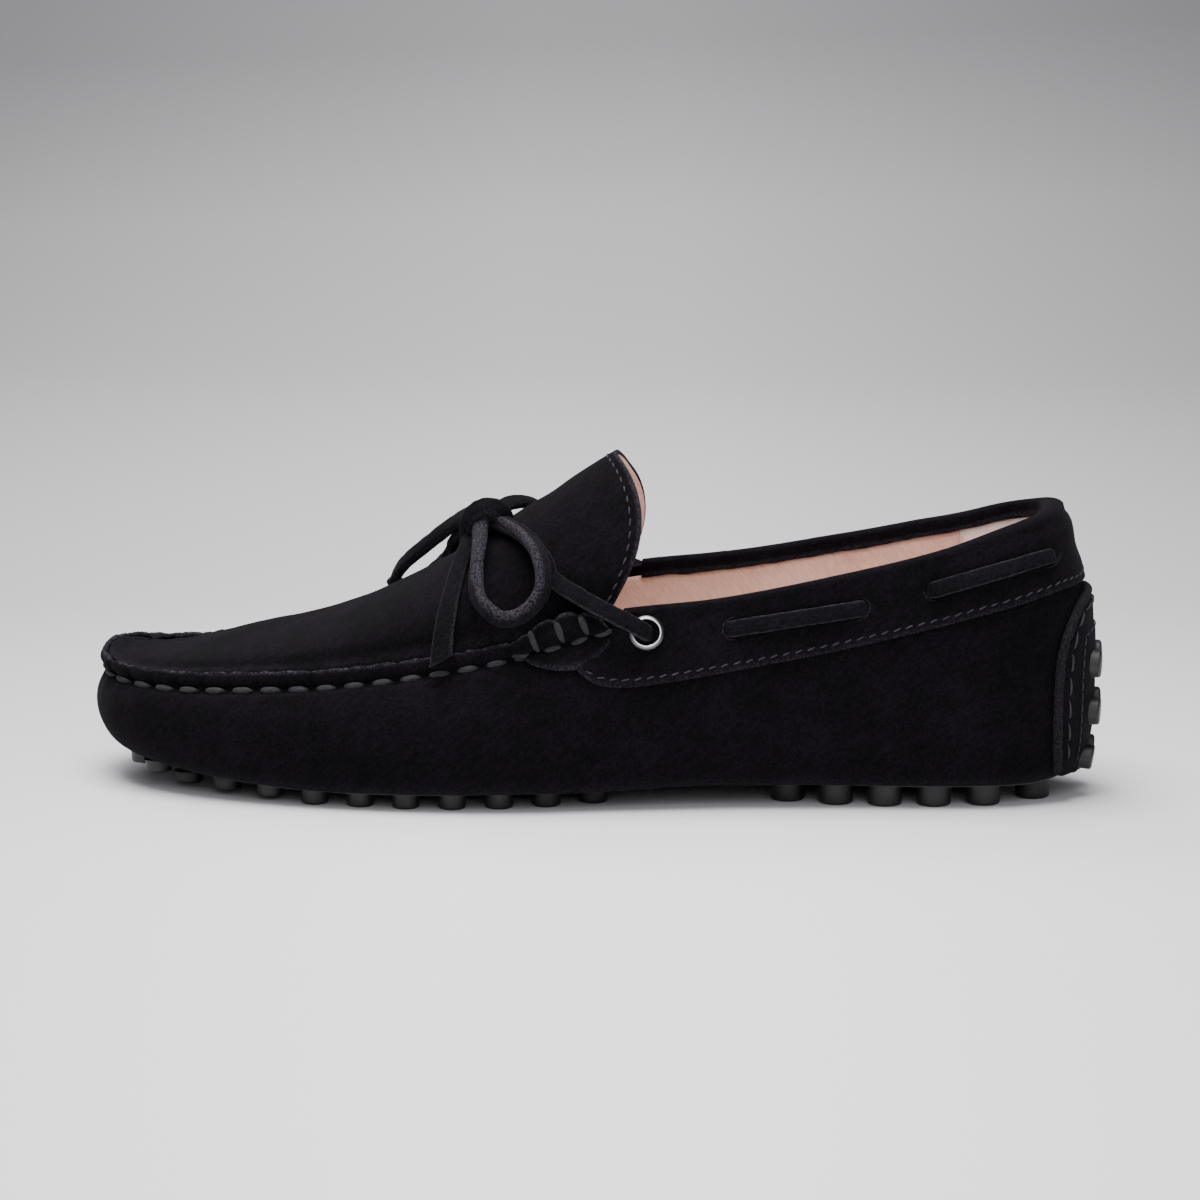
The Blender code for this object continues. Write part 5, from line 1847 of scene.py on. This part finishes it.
def make_eyelets():
    for side_name, side in (("outer", -1), ("inner", 1)):
        height = EYELET_PLACE[1] * COLLAR_HEIGHT
        station = station_at(side, along(EYELET_PLACE[0]), height)
        normal = outward(station, height)
        centre = over_wall(station, height, FIT + BAND_WALL)
        profile = []
        for k in range(17):
            angle = math.pi * (1 - k / 16)
            middle = (EYELET_HOLE_RADIUS + EYELET_RADIUS) / 2
            half = (EYELET_RADIUS - EYELET_HOLE_RADIUS) / 2
            profile.append(
                (
                    middle + half * math.cos(angle),
                    0.1 * MM + (1.25 - 0.35 * math.cos(angle)) * MM * math.sin(angle) ** 0.6,
                )
            )
        profile += [
            (EYELET_RADIUS - 0.1 * MM, -0.1 * MM),
            (EYELET_HOLE_RADIUS + 0.4 * MM, -0.1 * MM),
            (EYELET_HOLE_RADIUS + 0.4 * MM, -3.0 * MM),
            (EYELET_HOLE_RADIUS, -3.0 * MM),
        ]
        # Mask of the outer flange, which the metal colours darker as a painted reflection
        flange = [float(smooth_step(4.0 * MM, 4.35 * MM, r)) for r, _ in profile]
        template = turned(
            "eyelet_template", profile, 48, METAL, loop_v=True, marks={"flange": flange}
        )
        ring_piece = repeated(
            "eyelet_" + side_name + "_ring", template, [(centre, frame_turn(normal))], METAL
        )
        bpy.data.objects.remove(template)
        wear(ring_piece, "eyelet_metal", "eyelet_" + side_name)


make_tab(-1, "outer")
make_tab(1, "inner")
make_eyelets()


# Stitches
def stitch_template(name, length, width, height, arch):
    """One stitch of laid thread, arched along x, with its ends turned down and in."""
    steps = 14
    around = 12
    points = []
    for k in range(steps + 1):
        share = k / steps
        drop = abs(2 * share - 1) ** 5
        z = arch - (arch + height) * drop
        size = max(0.0, 1 - abs(2 * share - 1) ** 2.2) ** 0.7 * 0.86 + 0.14
        for j in range(around):
            a = 2 * math.pi * j / around
            strand = 1 + 0.12 * math.cos(4 * a + 2.2 * share)
            points.append(
                (
                    length * (share - 0.5),
                    width / 2 * size * strand * math.cos(a),
                    z + height / 2 * size * strand * math.sin(a),
                )
            )
    faces = quads(steps + 1, around, loop_v=True)
    faces += [tuple(range(around)), tuple(steps * around + j for j in range(around))]
    thing = piece(name, points, faces, THREAD, smooth=None)
    turn_out(thing)
    return thing


def make_seam_stitches():
    template = stitch_template(
        "seam_stitch_template", SEAM_STITCH, 1.85 * MM, 1.1 * MM, 0.26 * MM
    )
    places = []
    start, end = SEAM_LENGTHS[0], SEAM_LENGTHS[-1]
    for k in range(int(start / SEAM_PITCH) - 1, int(end / SEAM_PITCH) + 2):
        length = (k + SEAM_PHASE) * SEAM_PITCH
        if not start < length < end:
            continue
        station = float(np.interp(length, SEAM_LENGTHS, SEAM_STATIONS))
        if abs(station) > 7.25:
            continue
        height = edge_point(station).z - RIDGE_HEIGHT * ring(station)[8] - 0.6 * MM
        normal = outward(station, height - 1.0 * MM)
        way = -inward(station, edge_point) * 0.9 + normal * 0.5
        run = edge_point(station + 0.03) - edge_point(station - 0.03)
        centre = wall_at(station, height) + way.normalized() * 0.10 * MM
        places.append((centre, frame_turn(way, run)))
    seam = repeated("moccasin_seam_stitches", template, places, THREAD)
    bpy.data.objects.remove(template)
    wear(seam, "suede")


def row_of_stitches(name, line, ways, pitch, template, tilt=0.0):
    """Stitches at an even pitch along a line of points on the shoe."""
    spots = arr(line)
    steps = np.linalg.norm(np.diff(spots, axis=0), axis=1)
    length = np.concatenate([[0], np.cumsum(steps)])
    count = int(length[-1] / pitch)
    places = []
    outs = arr(ways)
    for k in range(count):
        at = (k + 0.5) * pitch
        centre = [np.interp(at, length, spots[:, j]) for j in range(3)]
        ahead = [np.interp(at + 1 * MM, length, spots[:, j]) for j in range(3)]
        way = Vector([np.interp(at, length, outs[:, j]) for j in range(3)])
        run = Vector(ahead) - Vector(centre)
        turn = frame_turn(way, run) @ Matrix.Rotation(tilt, 3, "Z")
        places.append((Vector(centre), turn))
    thing = repeated(name, template, places, FINE_THREAD)
    wear(thing, "suede")


def make_trim_stitches():
    small = stitch_template("trim_stitch_template", 2.7 * MM, 0.46 * MM, 0.4 * MM, 0.05 * MM)
    long = stitch_template("long_stitch_template", 5.6 * MM, 0.75 * MM, 0.6 * MM, 0.15 * MM)
    keep = [k for k, s in enumerate(band_turns) if abs(s) > 7.72]
    line, ways = [], []
    for k in keep:
        column = band_grid[k, :13]
        at = column[0, 2] + 2.1 * MM
        share = np.interp(at, column[:, 2], np.arange(13))
        low = int(min(11, math.floor(share)))
        point = column[low] + (column[low + 1] - column[low]) * (share - low)
        line.append(Vector(point))
        ways.append(Vector(band_out[k, low]))
    row_of_stitches("band_edge_stitches", line, ways, TRIM_PITCH, small, 0.22)
    line, ways = [], []
    row = int(np.argmin(np.abs(apron_stations - 7.88)))
    for j in range(4, len(apron_turns) - 4):
        line.append(Vector(apron_grid[row, j]))
        ways.append(Vector(apron_normal[row, j]))
    row_of_stitches("tongue_edge_stitches", line, ways, 3.8 * MM, small, -0.15)
    line, ways = patch_line(0.86, 0.10, 0.660, 2.75 * MM)
    row_of_stitches("patch_edge_stitches", line, ways, 6.6 * MM, long, 0.06)
    line, ways = patch_line(0.62, 0.10, 0.575, 2.95 * MM)
    row_of_stitches("patch_panel_stitches", line, ways, 3.2 * MM, small)
    bpy.data.objects.remove(small)
    bpy.data.objects.remove(long)


def make_tab_stitches():
    whip = stitch_template("whip_template", 6.7 * MM, 2.1 * MM, 1.3 * MM, 0.5 * MM)
    run = stitch_template("tab_seam_template", 6.0 * MM, 1.9 * MM, 1.2 * MM, 0.4 * MM)
    for side_name, side in (("outer", -1), ("inner", 1)):
        for name, template, rows, lift in (
            ("tab_whip_stitches_", whip, TAB_WHIPS, 1.6 * MM),
            ("tab_seam_stitches_", run, TAB_RUNS, 0.8 * MM),
        ):
            places = []
            for x0, z0, x1, z1 in rows:
                a, way_a = shoe_side(side, x0 * MM, z0 * MM)
                b, way_b = shoe_side(side, x1 * MM, z1 * MM)
                way = way_a + way_b
                centre = (a + b) / 2 + way / 2 * (FIT + RIDGE_BULGE + lift)
                places.append((centre, frame_turn(way, b - a)))
            wear(repeated(name + side_name, template, places, THREAD), "suede")
    for template in (whip, run):
        bpy.data.objects.remove(template)


make_seam_stitches()
make_trim_stitches()
make_tab_stitches()


# Floor, backdrop and light
FLOOR_FRONT = -2.2
FLOOR_BACK = 0.9
SWEEP_RADIUS = 0.7
WALL_TOP = 3.0
HALF_WIDTH = 3.5
# Painted shade on the backdrop: it darkens with depth plus height; shares of that, and the tone at
# each
BACKDROP_SHADE_RAMP = ((0.0, 0.89), (0.12, 0.87), (0.16, 0.80), (0.29, 0.55), (0.50, 0.48), (0.675, 0.40),
            (0.77, 0.25), (1.0, 0.2))
# Lights: place, target, size in metres, power in watts
LIGHTS = {
    "top_light": ((-0.12, -0.12, 1.5), (0, 0, 0), 1.1, 49),
    "front_light": ((0.4, -1.6, 1.0), (0, 0, 0.05), 1.2, 11),
    "back_light": ((-0.6, 1.0, 1.1), (0, 0, 0.06), 0.8, 12),
}


def pale_floor():
    """Matt studio paper, rolled up behind: near white in front, with painted shade that greys it
    to the back and sides.
    """
    material, tree, shader = begin("pale_floor", {"Roughness": 0.9, "Specular IOR Level": 0.1})
    place = put(tree, "ShaderNodeTexCoord").outputs["Object"]
    level = put(
        tree, "ShaderNodeMapping", {"Vector": place, "Rotation": (0, 0, -VIEW_AZIMUTH)}
    )
    split = put(tree, "ShaderNodeSeparateXYZ", {"Vector": level.outputs[0]})
    depth = put(
        tree, "ShaderNodeMath", {0: split.outputs["Y"], 1: split.outputs["Z"]}, operation="ADD"
    )
    share = put(
        tree, "ShaderNodeMapRange", {"Value": depth.outputs[0], "From Min": -0.4, "From Max": 2.0}
    )
    # Painted shade: the ramp greys the paper towards the back and up the sweep
    ramp = put(tree, "ShaderNodeValToRGB", {"Fac": share.outputs[0]})
    while len(ramp.color_ramp.elements) < len(BACKDROP_SHADE_RAMP):
        ramp.color_ramp.elements.new(1.0)
    for element, (at, tone) in zip(ramp.color_ramp.elements, BACKDROP_SHADE_RAMP):
        element.position = at
        element.color = (tone, 0.985 * tone, 1.015 * tone, 1)
    # Painted shade: away from the middle the paper is mixed up to about a third of the way to
    # black
    aside = put(tree, "ShaderNodeMath", {0: split.outputs["X"]}, operation="ABSOLUTE")
    edge = put(
        tree,
        "ShaderNodeMapRange",
        {"Value": aside.outputs[0], "From Min": 0.04, "From Max": 0.32, "To Max": 0.32},
    )
    shade = put(
        tree,
        "ShaderNodeMix",
        {0: edge.outputs[0], 6: ramp.outputs["Color"], 7: "000000"},
        data_type="RGBA",
    )
    tree.links.new(shade.outputs[2], shader.inputs["Base Color"])
    return material


def make_stage():
    run = [(FLOOR_FRONT, 0), (FLOOR_BACK, 0)]
    for k in range(1, 17):
        angle = math.pi / 2 * k / 16
        y = FLOOR_BACK + SWEEP_RADIUS * math.sin(angle)
        run.append((y, SWEEP_RADIUS * (1 - math.cos(angle))))
    run.append((FLOOR_BACK + SWEEP_RADIUS, WALL_TOP))
    points = [(x, y, z) for y, z in run for x in (-HALF_WIDTH, HALF_WIDTH)]
    faces = quads(len(run), 2, flip=True)
    piece("studio_sweep", points, faces, pale_floor(), smooth=None)
    scene = bpy.context.scene
    world = bpy.data.worlds.new("studio")
    scene.world = world
    world.use_nodes = True
    world.node_tree.nodes["Background"].inputs[0].default_value = colour("e8e8ec")
    world.node_tree.nodes["Background"].inputs[1].default_value = 0.42
    for name, (place, target, size, power) in LIGHTS.items():
        data = bpy.data.lights.new(name, "AREA")
        data.size = size
        data.energy = power
        lamp = bpy.data.objects.new(name, data)
        scene.collection.objects.link(lamp)
        lamp.location = place
        lamp.rotation_euler = (Vector(target) - Vector(place)).to_track_quat("-Z", "Y").to_euler()


make_stage()
